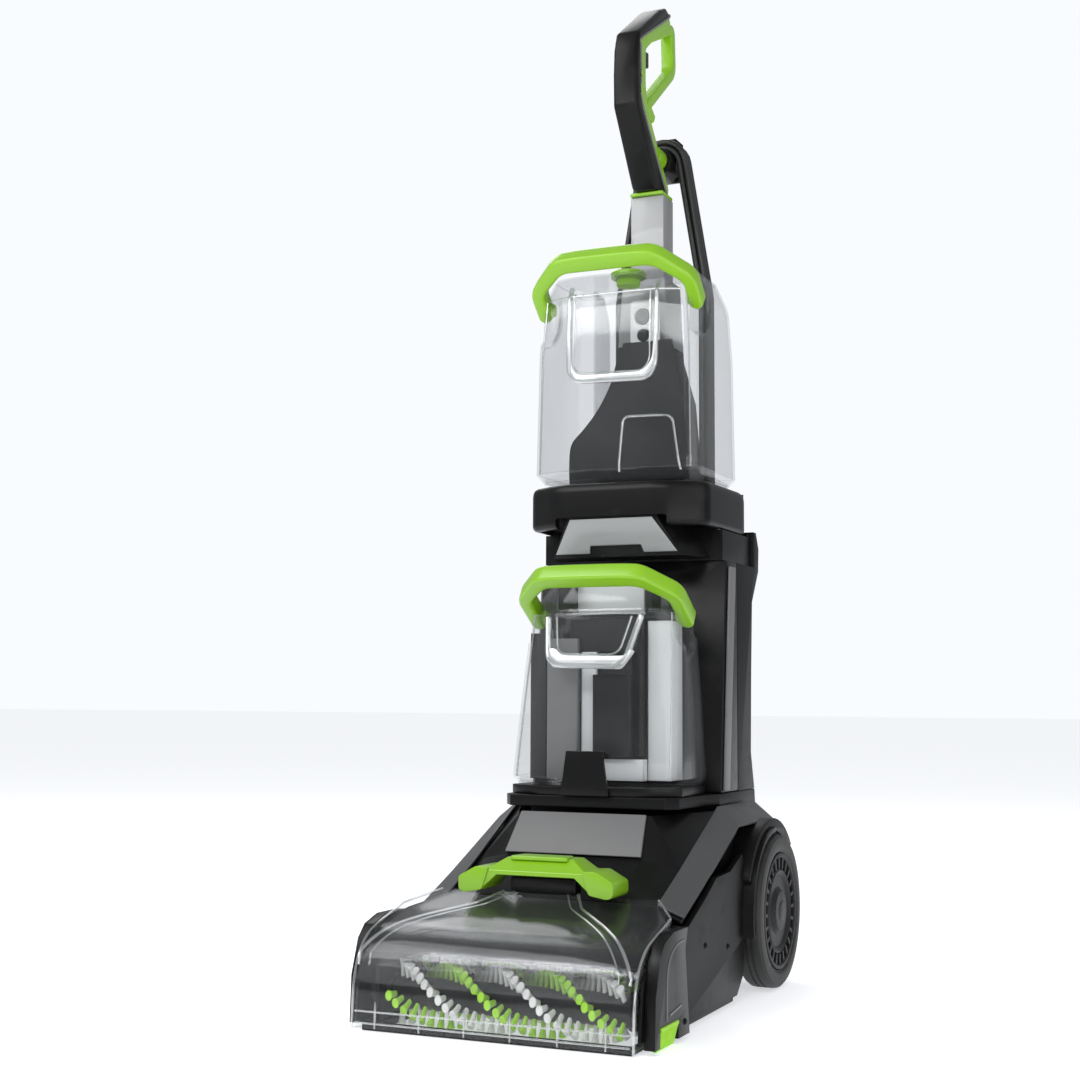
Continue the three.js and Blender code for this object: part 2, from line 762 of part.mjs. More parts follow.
// Collar between the tanks, hollow from below, with the nose that carries the label.
const BUTTON = { x: 86, z: 510, radius: 7, front: 209, rear: 217 };
const COLLAR_PLAN = mirrored([
  [0, 42],
  [62, 44],
  [86, 58],
  [103, 68],
  [106, 186],
  [96, 213.6],
  [0, 213.6],
]);
function collar() {
  const { bottom, top, underLabel } = COLLAR;
  const gate = box(-64, 64, 40, 64, bottom - 1, underLabel);
  const brim = cut(alongZ(COLLAR_PLAN, bottom, top), gate);
  const room = alongZ(
    COLLAR_PLAN.map(([x, y]) => [x * 0.955, 130 + (y - 130) * 0.955]),
    bottom - 1,
    top - WALL - 1,
  );
  const nose = loft(
    [
      noseRing(455, 74, 66),
      noseRing(underLabel + 1, 50, 47),
      noseRing(top - 2, 54, 47),
    ],
    [0, 1],
  );
  const deck = box(-104, 104, 112, 213.6, SPINE.top + GAP, SPINE.top + 5);
  const block = box(-104, 104, 112, 213.6, SPINE.top + GAP, bottom + 3);
  const walls = cut(block, box(-100, 100, 116, 210, 440, 510));
  const recess = box(-RECESS.half, RECESS.half, RECESS.floor, 220, bottom - 50, top + 5);
  const back = box(-RECESS.half, RECESS.half, RECESS.floor - WALL, RECESS.floor, bottom, top);
  const buttonHole = round("y", BUTTON.x, BUTTON.z, BUTTON.radius + GAP, 200, 220, 24);
  return cut(join(cut(join(cut(brim, room), walls, deck), recess), nose, back), buttonHole);
}
const noseRing = (z, half, y) => [
  [-half, y, z],
  [half, y, z],
  [half + 18, 118, z],
  [-half - 18, 118, z],
];
function collarLabel() {
  const ring = (z, half, y) => [
    [-half, y, z],
    [half, y, z],
    [half, y + 2.4, z],
    [-half, y + 2.4, z],
  ];
  return loft([ring(459, 70, 61.4), ring(495, 47, 45.3)], [0, 1]);
}
add("collar", collar(), BLACK, upright);
add("collar_label", collarLabel(), SILVER, upright);

// Backbone behind the clean tank, carrying the stem, with the plate that holds the tank's ports.
const BACKBONE = [
  { z: COLLAR.top + GAP, half: 52, front: 138, rear: 205 },
  { z: 640, half: 44, front: 140, rear: 204 },
  { z: 690, half: 30, front: 143, rear: 203 },
  { z: 780, half: 26, front: 148, rear: 201 },
];
const backboneRing = (inset) => ({ z, half, front, rear }) => [
  z,
  [
    [-half + inset, front + inset],
    [half - inset, front + inset],
    [half - inset, rear - inset],
    [-half + inset, rear - inset],
  ],
];
function backbone() {
  const outer = stack(BACKBONE.map(backboneRing(0)));
  const inner = stack(BACKBONE.map(backboneRing(WALL)));
  const open = box(-25, 25, 155, 195, COLLAR.top - 2, COLLAR.top + 3);
  return join(cut(outer, inner.translate(0, 0, -1.5), open));
}
function stem() {
  const { half, front, rear, bottom, top } = STEM;
  return cut(
    box(-half, half, front, rear, bottom, top),
    box(-half + 2, half - 2, front + 2, rear - 2, bottom - 1, top + 1),
  );
}
add("backbone", backbone(), CHARCOAL, upright);
add("stem", stem(), SILVER, upright);

// Grip: a black cover on the front of the green handle frame, which ends in a closed loop.
const GRIP_FRONT = [
  [149, 884.6],
  [89, 964],
  [88, 1000],
  [90, 1030],
  [97, 1052],
  [168, 1104],
  [186, 1114],
];
const GRIP_REAR = [
  [199, 1111],
  [194, 1102],
  [106, 1046],
  [103, 1036],
  [104, 1000],
  [108, 970],
  [192, 884.6],
];
const gripCover = () => alongX([...GRIP_FRONT, ...GRIP_REAR].reverse(), -GRIP_HALF, GRIP_HALF);
const FRAME_BACK = [
  [188, 884.6],
  [201, 886],
  [205, 900],
  [133, 976],
  [128, 1000],
  [128, 1041],
  [180, 1082],
  [214, 1102],
  [206, 1113],
  [96, 1046],
  [96, 966],
];
const LOOP = [
  [[150, 1066], [230, 1107], 12],
  [[234, 1112], [236, 1052], 12],
  [[236, 1054], [146, 982], 13],
  [[150, 978], [168, 970], 8],
];
function handleFrame() {
  const spine = alongX(FRAME_BACK.toReversed(), -FRAME.half, FRAME.half);
  const loop = LOOP.map(([a, b, thick]) => alongX(strip(a, b, thick), -FRAME.loop, FRAME.loop));
  const room = alongX(
    [...GRIP_FRONT, ...GRIP_REAR.map(([y, z]) => [y + GAP, z - GAP])].reverse(),
    -GRIP_HALF - 1,
    GRIP_HALF + 1,
  );
  const boss = round("y", 0, WIND[0].z, 13, 168, HOOK_START - GAP, 20);
  const { half, front, rear, top } = STEM;
  const socket = box(-half, half, front - 4, rear, top + GAP, 884.2);
  const web = box(-FRAME.half, FRAME.half, rear - 6, rear + 6, top + GAP, 890);
  return join(cut(join(spine, ...loop, web), room), boss, socket);
}
const TRIGGER = { top: 1056, bottom: 1022, front: 128.6, rear: 150 };
function trigger() {
  return alongX(
    [
      [TRIGGER.front, TRIGGER.bottom + 14],
      [TRIGGER.front + 7, TRIGGER.bottom],
      [TRIGGER.rear, TRIGGER.bottom + 6],
      [TRIGGER.rear, TRIGGER.bottom + 24],
      [TRIGGER.front + 8, TRIGGER.bottom + 22],
      [TRIGGER.front, TRIGGER.bottom + 18],
    ].reverse(),
    -6,
    6,
  );
}
add("grip_cover", gripCover(), BLACK, upright);
add("handle_frame", handleFrame(), GREEN, upright);
add("trigger", trigger(), BLACK, upright);
const button = round("y", BUTTON.x, BUTTON.z, BUTTON.radius, BUTTON.front, BUTTON.rear, 20);
add("power_button", button, CHARCOAL, upright);

// ---- Mains lead, wound between the two hooks ----
const windCircles = WIND.map(({ z, r }) => ({ a: 0, b: z, r }));
const LANE = CORD.radius + 0.3;
const halfDepth = ((CORD.columns - 1) * CORD.pitch) / 2 + LANE;
const wound = {
  y0: CORD.y - halfDepth,
  y1: CORD.y + halfDepth,
  outer: (CORD.rows - 1) * CORD.pitch + LANE,
};
function upperHook() {
  const { z, r } = WIND[0];
  const post = round("y", 0, z, r - LANE - GAP, HOOK_START, wound.y1 + 2, 24);
  const lip = alongY(
    [
      [-15, z - 16],
      [15, z - 16],
      [18, z + 30],
      [10, z + 38],
      [-10, z + 38],
      [-18, z + 30],
    ].reverse(),
    wound.y1 + 1.4,
    wound.y1 + 6,
  );
  return join(post, lip);
}
function lowerHook() {
  const { z, r } = WIND[2];
  const arc = (radius) => {
    const points = [];
    for (let i = 0; i <= 14; i++) {
      const angle = Math.PI + (i * Math.PI) / 14;
      points.push([radius * Math.cos(angle), z + radius * Math.sin(angle)]);
    }
    return points;
  };
  const inner = r - LANE - GAP;
  const band = (low, high, y0, y1) => alongY([...arc(high), ...arc(low).reverse()].reverse(), y0, y1);
  const rim = band(inner - 6, inner, RECESS.floor + GAP, wound.y1 + 2);
  const lip = band(inner - 6, inner + 19, wound.y1 + 1.4, wound.y1 + 5);
  const plate = band(12, inner, RECESS.floor + GAP, RECESS.floor + 4);
  return join(rim, lip, plate);
}
function cordWinding() {
  const band = (extra, y0, y1) => alongY(pulledRound(windCircles, extra, 40).reverse(), y0, y1);
  const { y0, y1, outer } = wound;
  return cut(band(outer, y0, y1), band(-LANE, y0 - 1, y1 + 1));
}
// The lead leaves the gland pointing up and joins the winding's right-hand strand.
const LEAD = [
  [GLAND.x, GLAND.y, GLAND.top + GAP],
  [GLAND.x, GLAND.y, 346],
  [82.5, 213.7, 366],
  [74, 213, 391],
  [64, 212.4, 416],
];
const cordLead = () => tube(LEAD, CORD.radius, 8, 10);
function strainRelief() {
  const { x, y, low, top } = GLAND;
  const cone = new THREE.CylinderGeometry(4.6, 7, top - low - GAP, 20).rotateX(Math.PI / 2);
  return solid(cone.translate(x, y, (low + GAP + top) / 2));
}
const PLUG = { x: -80, y: 232.9, neck: 628, top: 602, bottom: 566, tip: 548 };
function powerPlug() {
  const { x, y, neck, top, bottom, tip } = PLUG;
  const outline = [
    [x - 12, top - 4],
    [x - 9, top],
    [x + 9, top],
    [x + 12, top - 4],
    [x + 10, bottom],
    [x - 10, bottom],
  ];
  const blade = (at) => box(at - 0.8, at + 0.8, y - 3.2, y + 3.2, tip, bottom + 3);
  const collar = round("z", x, y, 5, top - 2, neck, 16);
  return join(alongY(outline, y - 8, y + 8), collar, blade(x - 6.3), blade(x + 6.3));
}
add("upper_cord_hook", upperHook(), BLACK, upright);
add("lower_cord_hook", lowerHook(), BLACK, upright);
add("strain_relief", strainRelief(), RUBBER, upright);
add("cord_lead", cordLead(), RUBBER, upright);
add("cord_winding", cordWinding(), RUBBER, upright);
add("power_plug", powerPlug(), RUBBER, upright);

// ---- Tanks ----
// Plan of a tank: bowed front, chamfered front corners, square back.
const tankPlan = (half, front, corner, rear, inset = 0) =>
  mirrored([
    [0, front + inset],
    [half * 0.55, front + 1 + inset],
    [half - 10 - inset / 2, corner - 9 + inset / 2],
    [half - inset, corner + inset / 2],
    [half - inset, rear - 8],
    [half - 8, rear - inset],
    [0, rear - inset],
  ]);
const DIRTY_RINGS = [
  { z: DIRTY.bottom, half: 90, front: -14, corner: 12, rear: 84 },
  { z: DIRTY.bottom + 8, half: 95, front: -22, corner: 5, rear: 87 },
  { z: 300, half: 92, front: -10, corner: 19, rear: 82 },
  { z: DIRTY.top, half: 87, front: 6, corner: 34, rear: 78 },
];
const tankRings = (rings, inset) =>
  rings.map(({ z, half, front, corner, rear }) => [z, tankPlan(half, front, corner, rear, inset)]);
// Round hollows in a tank's sides that the arms of its handle turn in, grown by a wall's thickness.
const ARM_THICK = 9.5;
function armRoom({ y, z, half, recess }, grow) {
  return SIDES.map(([, s]) =>
    flipX(round("x", y, z, recess + grow, half - ARM_THICK - 2 * GAP - grow, half + 20, 28), s),
  );
}
const dirtyTank = new THREE.Group();
machine.add(dirtyTank);
function dirtyShell() {
  const inner = cut(
    stack(tankRings(DIRTY_RINGS, TANK_WALL)).translate(0, 0, TANK_WALL),
    ...armRoom(HANDLE.dirty, TANK_WALL),
  );
  return cut(stack(tankRings(DIRTY_RINGS, 0)), inner, ...armRoom(HANDLE.dirty, 0));
}
function dirtyBase() {
  const [low] = DIRTY_RINGS;
  const plan = tankPlan(low.half + 4, low.front - 5, low.corner - 6, low.rear + 3);
  const badge = alongY(
    [
      [-26, SHELF.top + GAP],
      [-20, 250],
      [20, 250],
      [26, SHELF.top + GAP],
    ],
    low.front - 12,
    low.front - 8.5,
  );
  const foot = box(-26, 26, low.front - 12, low.front, SHELF.top + GAP, DIRTY.bottom - GAP);
  return join(alongZ(plan, SHELF.top + GAP, DIRTY.bottom - GAP), foot, badge);
}
function dirtyLid() {
  const top = DIRTY_RINGS[3];
  return stack([
    [DIRTY.top + GAP, tankPlan(top.half - 6, top.front, top.corner, top.rear)],
    [DIRTY.top + 16, tankPlan(top.half - 9, top.front + 8, top.corner + 4, top.rear)],
    [DIRTY.lid, tankPlan(58, 30, 44, 74)],
  ]);
}
function separator() {
  const post = box(-20, 30, 34, 72, 217.6, DIRTY.top - 4);
  return cut(post, box(-16, 26, 38, 68, 222, DIRTY.top), box(-10, 20, 30, 40, 360, 382));
}
const FLOAT = { x: -48, y: 52, bottom: 300, top: 326 };
add("dirty_tank_shell", dirtyShell(), CLEAR, dirtyTank);
add("dirty_tank_base", dirtyBase(), BLACK, dirtyTank);
add("dirty_tank_lid", dirtyLid(), BLACK, dirtyTank);
add("separator", separator(), CHARCOAL, dirtyTank);
add("float", round("z", FLOAT.x, FLOAT.y, 15, FLOAT.bottom, FLOAT.top, 20), SILVER, dirtyTank);
const CLEAN_RINGS = [
  { z: CLEAN.bottom, half: 90, front: 56, corner: 74, rear: 182 },
  { z: CLEAN.bottom + 10, half: 97, front: 46, corner: 66, rear: 188 },
  { z: 680, half: 95, front: 48, corner: 68, rear: 187 },
  { z: 740, half: 91, front: 51, corner: 71, rear: 186 },
  { z: CLEAN.top, half: 82, front: 66, corner: 82, rear: 168 },
];
const cleanTank = new THREE.Group();
machine.add(cleanTank);
const CAP = { x: 0, y: 100, radius: 19, hole: 14 };
function cleanShell() {
  const { recess, recessFront, top } = CLEAN;
  const slot = box(-recess, recess, recessFront, 200, CLEAN.bottom - 10, top + 10);
  const keep = box(
    -recess - TANK_WALL,
    recess + TANK_WALL,
    recessFront - TANK_WALL,
    200,
    CLEAN.bottom - 10,
    top + 10,
  );
  const inner = cut(
    stack(tankRings(CLEAN_RINGS, TANK_WALL)),
    keep,
    ...armRoom(HANDLE.clean, TANK_WALL),
  ).intersect(box(-120, 120, 0, 220, CLEAN.bottom + TANK_WALL, top - TANK_WALL));
  const mouth = round("z", CAP.x, CAP.y, CAP.hole, top - 10, top + 5, 24);
  return cut(stack(tankRings(CLEAN_RINGS, 0)), inner, slot, mouth, ...armRoom(HANDLE.clean, 0));
}
function tankCap() {
  const disc = round("z", CAP.x, CAP.y, CAP.radius, CLEAN.top + GAP, CLEAN.top + 8, 24);
  return join(disc, round("z", CAP.x, CAP.y, CAP.hole - 0.6, CLEAN.top - 8, CLEAN.top + 1, 20));
}
add("clean_tank_shell", cleanShell(), SMOKE, cleanTank);
add("clean_tank_cap", tankCap(), GREEN, cleanTank);

// Carry handles: a flat arch in its own plane, hinged on the tank's sides and leaning forward.
function carryHandle({ reach, bar, half, depth }) {
  const outer = mirrored([
    [0, reach + 9],
    [bar, reach + 9],
    [half, reach - 30],
    [half, -8],
    [half - 5, -12],
    [half - ARM_THICK, -8],
    [half - ARM_THICK, reach - 34],
    [bar - 5, reach - 8],
    [0, reach - 8],
  ]);
  const g = new THREE.ExtrudeGeometry(shapeOf(outer), {
    depth,
    bevelEnabled: true,
    bevelThickness: 3,
    bevelSize: 2.4,
    bevelOffset: -2.4,
    bevelSegments: 1,
  });
  return solid(g.translate(0, 0, -depth / 2));
}
for (const [tank, spec] of Object.entries(HANDLE)) {
  const hinge = new THREE.Group();
  hinge.position.set(0, spec.y, spec.z);
  hinge.rotation.x = THREE.MathUtils.degToRad(180 - spec.angle);
  machine.add(hinge);
  add(tank + "_tank_handle", carryHandle(spec), GREEN, hinge);
}

export default machine;
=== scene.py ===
"""Upright carpet cleaner: its looks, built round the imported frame.

Outlines are in millimetres, with +Z up and the nozzle towards -Y; finished meshes are in metres.
"""

import math

import bmesh
import bpy
from mathutils import Matrix, Vector


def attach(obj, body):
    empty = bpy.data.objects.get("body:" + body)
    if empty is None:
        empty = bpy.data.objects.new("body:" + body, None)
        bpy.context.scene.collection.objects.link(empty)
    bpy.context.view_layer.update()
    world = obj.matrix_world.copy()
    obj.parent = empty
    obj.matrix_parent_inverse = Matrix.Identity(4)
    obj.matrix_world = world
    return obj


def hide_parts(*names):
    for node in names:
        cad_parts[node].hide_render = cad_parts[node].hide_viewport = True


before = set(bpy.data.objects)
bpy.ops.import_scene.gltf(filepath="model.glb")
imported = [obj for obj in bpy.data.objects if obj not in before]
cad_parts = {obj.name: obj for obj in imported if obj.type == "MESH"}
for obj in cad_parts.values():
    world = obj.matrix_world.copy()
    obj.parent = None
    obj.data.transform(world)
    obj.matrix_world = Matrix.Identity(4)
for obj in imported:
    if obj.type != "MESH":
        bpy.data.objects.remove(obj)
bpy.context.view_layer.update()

MM = 0.001
SCENE = bpy.context.scene

# ---- Camera and light ----
CAMERA = {"place": (0.643, -1.580, 0.302), "turn": 24.03, "tilt": 5.53, "roll": -0.32, "lens": 54.87}
SENSOR = 36
SKY = {"colour": (0.95, 0.97, 1.0, 1), "lighting": 0.42, "seen": 1.0, "floor": 0.56}
# Place, target, size and power of each soft light.
LIGHTS = {
    "key": ((-1.9, -1.8, 2.7), (0, 0, 0.5), (2.2, 2.2), 54),
    "fill": ((2.3, -1.3, 1.2), (0, 0, 0.5), (1.6, 2.2), 14),
    "rim": ((-1.0, 1.8, 2.3), (0, 0, 0.6), (1.6, 1.2), 18),
    "nozzle_strip": ((-0.1, -1.0, 1.15), (0, -0.2, 0.1), (1.3, 0.22), 7),
    "low_front": ((1.3, -1.7, 0.55), (0, -0.2, 0.1), (0.9, 0.5), 5),
}


def aim_camera():
    """The camera, turned about Z, tilted up and then rolled about its own line of sight."""
    data = bpy.data.cameras.new("camera")
    data.lens = CAMERA["lens"]
    data.sensor_width = SENSOR
    camera = bpy.data.objects.new("camera", data)
    SCENE.collection.objects.link(camera)
    turn, tilt, roll = (math.radians(CAMERA[key]) for key in ("turn", "tilt", "roll"))
    camera.matrix_world = (
        Matrix.Translation(CAMERA["place"])
        @ Matrix.Rotation(turn, 4, "Z")
        @ Matrix.Rotation(math.pi / 2 + tilt, 4, "X")
        @ Matrix.Rotation(-roll, 4, "Z")
    )
    SCENE.camera = camera


def soft_light(name, place, target, size, power):
    """A rectangular light that faces its target."""
    data = bpy.data.lights.new(name, "AREA")
    data.shape = "RECTANGLE"
    data.size, data.size_y = size
    data.energy = power
    lamp = bpy.data.objects.new(name, data)
    SCENE.collection.objects.link(lamp)
    lamp.location = place
    lamp.rotation_euler = (Vector(target) - Vector(place)).to_track_quat("-Z", "Y").to_euler()


def light_studio():
    """A sky that looks white but lights less than it shows, and the soft lights."""
    SCENE.view_settings.view_transform = "Standard"
    world = bpy.data.worlds.new("studio")
    world.use_nodes = True
    nodes = world.node_tree.nodes
    background = nodes["Background"]
    background.inputs["Color"].default_value = SKY["colour"]
    seen = nodes.new("ShaderNodeLightPath")
    level = nodes.new("ShaderNodeMapRange")
    level.inputs["To Min"].default_value = SKY["lighting"]
    level.inputs["To Max"].default_value = SKY["seen"]
    world.node_tree.links.new(seen.outputs["Is Camera Ray"], level.inputs["Value"])
    world.node_tree.links.new(level.outputs["Result"], background.inputs["Strength"])
    SCENE.world = world
    for name, facts in LIGHTS.items():
        soft_light(name, *facts)


aim_camera()
light_studio()


# ---- Finishes ----
class Value:
    """A shader socket. Python's operators on it add Math nodes."""

    def __init__(self, finish, socket):
        self.finish = finish
        self.socket = socket

    def math(self, operation, *values):
        return self.finish.node("ShaderNodeMath", {"operation": operation}, values)

    def __add__(self, other):
        return self.math("ADD", self, other)

    def __sub__(self, other):
        return self.math("SUBTRACT", self, other)

    def __rsub__(self, other):
        return self.math("SUBTRACT", other, self)

    def __mul__(self, other):
        return self.math("MULTIPLY", self, other)

    def __pow__(self, other):
        return self.math("POWER", self, other)

    __radd__ = __add__
    __rmul__ = __mul__

    def between(self, low, high):
        """0 below low, 1 above high and smooth from one to the other."""
        return self.finish.node(
            "ShaderNodeMapRange", {"interpolation_type": "SMOOTHSTEP"}, {0: self, 1: low, 2: high}
        )


class Finish:
    """A material in the making."""

    def __init__(self, name):
        self.material = bpy.data.materials.new(name)
        self.material.use_nodes = True
        self.tree = self.material.node_tree
        self.tree.nodes.clear()
        self.place = self.node("ShaderNodeTexCoord", out="Object")

    def node(self, kind, settings=None, values=(), out=0):
        made = self.tree.nodes.new(kind)
        for key, setting in (settings or {}).items():
            setattr(made, key, setting)
        for key, value in values.items() if isinstance(values, dict) else enumerate(values):
            if isinstance(value, Value):
                self.tree.links.new(value.socket, made.inputs[key])
            else:
                made.inputs[key].default_value = value
        return Value(self, made.outputs[out])

    def noise(self, scale, detail=2.0, stretch=(1, 1, 1)):
        """Noise on the object, from 0 to 1. scale is in features per metre."""
        turned = self.node("ShaderNodeMapping", values={"Vector": self.place, "Scale": stretch})
        values = {"Vector": turned, "Scale": scale, "Detail": detail}
        return self.node("ShaderNodeTexNoise", values=values)

    def cells(self, scale):
        """Round cells on the object, dark at their middles. scale is in cells per metre."""
        return self.node("ShaderNodeTexVoronoi", values={"Vector": self.place, "Scale": scale})

    def blend(self, share, first, second):
        """A colour from first, at share 0, to second, at share 1."""
        return self.node("ShaderNodeMix", {"data_type": "RGBA"}, {0: share, 6: first, 7: second}, out=2)

    def bump(self, height, depth_mm):
        """A normal from height, which runs from 0 to 1 over that depth."""
        values = {"Strength": 1.0, "Distance": depth_mm * MM, "Height": height}
        return self.node("ShaderNodeBump", values=values)

    def shader(self, **sockets):
        names = {key.replace("_", " "): value for key, value in sockets.items()}
        return self.node("ShaderNodeBsdfPrincipled", values=names)

    def close(self, shader):
        output = self.tree.nodes.new("ShaderNodeOutputMaterial")
        self.tree.links.new(shader.socket, output.inputs["Surface"])
        return self.material


def tone(colour, factor):
    """A colour made lighter or darker, with its alpha."""
    return (*(min(1.0, c * factor) for c in colour), 1)


def moulded(name, colour, rough, grain_mm=0.5, grain_depth=0.02, coat=0.0, mottle=0.12, gloss=0.5):
    """Injection-moulded plastic: spark-eroded grain, faint flow marks and rubbed, shinier patches."""
    f = Finish(name)
    flow = f.noise(9, 3, (1, 1, 0.35))
    rubbed = f.noise(38, 4).between(0.52, 0.78)
    grain = f.noise(1000 / grain_mm, 1)
    shade = f.blend(flow, tone(colour, 1 - mottle), tone(colour, 1 + mottle))
    shader = f.shader(
        Base_Color=f.blend(rubbed * 0.012, shade, tone((0.35, 0.35, 0.34), 1)),
        Specular_IOR_Level=gloss,
        Roughness=rough + rubbed * 0.10 + grain * 0.05,
        Coat_Weight=coat,
        Coat_Roughness=0.12,
        Normal=f.bump(grain, grain_depth),
    )
    return f.close(shader)


def flaked(name, colour, rough):
    """Silver paint: fine flakes under a clear coat."""
    f = Finish(name)
    flake = f.cells(2600)
    cloud = f.noise(14, 2)
    shader = f.shader(
        Base_Color=f.blend(flake * 0.6 + cloud * 0.3, tone(colour, 0.86), tone(colour, 1.14)),
        Metallic=0.35,
        Roughness=rough + flake * 0.08,
        Coat_Weight=0.25,
        Normal=f.bump(flake, 0.006),
    )
    return f.close(shader)


def clear(name, tint, through, solid, edge, rough=0.05):
    """Clear plastic: see-through face on, mirror-like at grazing angles, tinting what is behind by through.

    solid and edge are the shares of light that it reflects face on and at its edges.
    """
    f = Finish(name)
    facing = f.node("ShaderNodeLayerWeight", values={"Blend": 0.42}, out="Facing")
    haze = f.noise(22, 3)
    ripple = f.noise(30, 1, (1, 1, 0.4))
    body = f.shader(
        Base_Color=f.blend(haze, tone(tint, 0.9), tone(tint, 1.06)),
        Metallic=0.85,
        Roughness=rough + haze * 0.05,
        Normal=f.bump(ripple, 0.15),
    )
    behind = f.node("ShaderNodeBsdfTransparent", values={"Color": tone(through, 1)})
    share = facing**2.6 * (edge - solid) + solid + haze * 0.02
    return f.close(f.node("ShaderNodeMixShader", values=(share, behind, body)))


def rubbery(name, colour, rough, dust=0.16):
    """Black rubber or soft PVC with a bloom of dust in its low places."""
    f = Finish(name)
    bloom = f.noise(55, 5).between(0.45, 0.85)
    pores = f.noise(1500, 2)
    shader = f.shader(
        Base_Color=f.blend(bloom * dust, tone(colour, 1), tone((0.2, 0.195, 0.185), 1)),
        Roughness=rough + bloom * 0.15,
        Normal=f.bump(pores, 0.04),
    )
    return f.close(shader)


def turned_steel(name, colour, rough):
    """Steel with the fine rings that a lathe leaves."""
    f = Finish(name)
    rings = f.noise(700, 3, (1, 0.03, 0.03))
    shader = f.shader(
        Base_Color=f.blend(rings, tone(colour, 0.8), tone(colour, 1.1)),
        Metallic=1.0,
        Roughness=rough + rings * 0.2,
        Normal=f.bump(rings, 0.01),
    )
    return f.close(shader)


def bristly(name, colour):
    """Nylon bristle: strands a quarter of a millimetre wide, paler at random."""
    f = Finish(name)
    strands = f.cells(3200)
    patch = f.noise(160, 3)
    shader = f.shader(
        Base_Color=f.blend(strands * 0.8 + patch * 0.3, tone(colour, 0.62), tone(colour, 1.2)),
        Roughness=0.5 + strands * 0.2,
        Sheen_Weight=0.15,
        Normal=f.bump(strands, 0.18),
    )
    return f.close(shader)


BLACK = moulded("satin_black_plastic", (0.0040, 0.0040, 0.0044), 0.31, 0.5, 0.004, coat=0.03, gloss=0.16)
GRAINED = moulded("grained_black_plastic", (0.0052, 0.0052, 0.0056), 0.36, 0.9, 0.010, gloss=0.13)
CHARCOAL = moulded("charcoal_plastic", (0.018, 0.018, 0.019), 0.44, 0.9, 0.010, gloss=0.2)
PANEL_GREY = moulded("panel_grey_plastic", (0.135, 0.135, 0.137), 0.40, 0.6, 0.02, mottle=0.05, gloss=0.4)
TRIM_GREY = moulded("trim_grey_plastic", (0.060, 0.061, 0.062), 0.36, 0.6, 0.02, mottle=0.05, gloss=0.4)
LIME = moulded("lime_plastic", (0.205, 0.43, 0.008), 0.28, 0.8, 0.006, coat=0.15, mottle=0.04)
SILVER = flaked("silver_plastic", (0.30, 0.305, 0.31), 0.42)
PALE = moulded("pale_grey_plastic", (0.55, 0.56, 0.57), 0.36, 0.6, 0.02, mottle=0.05)
CLEAR = clear("clear_plastic", (0.86, 0.87, 0.88), (0.975, 0.98, 0.98), 0.022, 0.34)
EDGE_CLEAR = clear("clear_plastic_edge", (0.93, 0.94, 0.95), (0.80, 0.81, 0.82), 0.30, 0.75, 0.16)
BAND_CLEAR = clear("clear_plastic_band", (0.93, 0.94, 0.95), (0.92, 0.93, 0.94), 0.42, 0.8, 0.3)
SMOKE = clear("smoked_clear_plastic", (0.80, 0.81, 0.82), (0.935, 0.938, 0.94), 0.022, 0.36)
HOOD_CLEAR = clear("nozzle_clear_plastic", (0.84, 0.85, 0.86), (0.965, 0.967, 0.97), 0.016, 0.20, 0.06)
TYRE = rubbery("tyre_rubber", (0.010, 0.010, 0.010), 0.55)
CORD_BLACK = rubbery("cord_sheath", (0.014, 0.014, 0.0145), 0.40, 0.06)
STEEL = turned_steel("turned_steel", (0.56, 0.56, 0.58), 0.25)
BRASS = turned_steel("plated_brass", (0.72, 0.68, 0.58), 0.22)
LIME_BRISTLE = bristly("lime_bristle", (0.36, 0.72, 0.02))
WHITE_BRISTLE = bristly("white_bristle", (0.80, 0.80, 0.78))


# ---- Mesh building ----
def mesh_of(name, points, faces):
    """A tidied mesh from points in millimetres."""
    mesh = bpy.data.meshes.new(name)
    mesh.from_pydata([Vector(p) * MM for p in points], [], faces)
    return tidied(mesh)


def tidied(mesh):
    """The mesh with its doubles merged, its slivers gone and its faces turned outwards."""
    shape = bmesh.new()
    shape.from_mesh(mesh)
    bmesh.ops.remove_doubles(shape, verts=shape.verts, dist=2e-6)
    bmesh.ops.dissolve_degenerate(shape, edges=shape.edges, dist=1e-6)
    bmesh.ops.recalc_face_normals(shape, faces=shape.faces)
    shape.to_mesh(mesh)
    shape.free()
    return mesh


def joined(*meshes):
    """One mesh that holds all these shapes."""
    shape = bmesh.new()
    for mesh in meshes:
        shape.from_mesh(mesh)
    made = bpy.data.meshes.new("joined")
    shape.to_mesh(made)
    shape.free()
    return made


def moved(mesh, matrix):
    """A copy put through a matrix, with its faces still turned outwards if that mirrors it."""
    made = mesh.copy()
    made.transform(matrix)
    if matrix.determinant() < 0:
        made.flip_normals()
    return made


def shifted(mesh, x=0, y=0, z=0):
    """A copy moved by millimetres."""
    return moved(mesh, Matrix.Translation(Vector((x, y, z)) * MM))


def mirrored(mesh):
    """A copy on the other side of the machine."""
    return moved(mesh, Matrix.Scale(-1, 4, (1, 0, 0)))


def on_side(mesh, s):
    """A right-hand mesh as it is where s is 1, and as its mirror image where s is -1."""
    return mesh if s > 0 else mirrored(mesh)


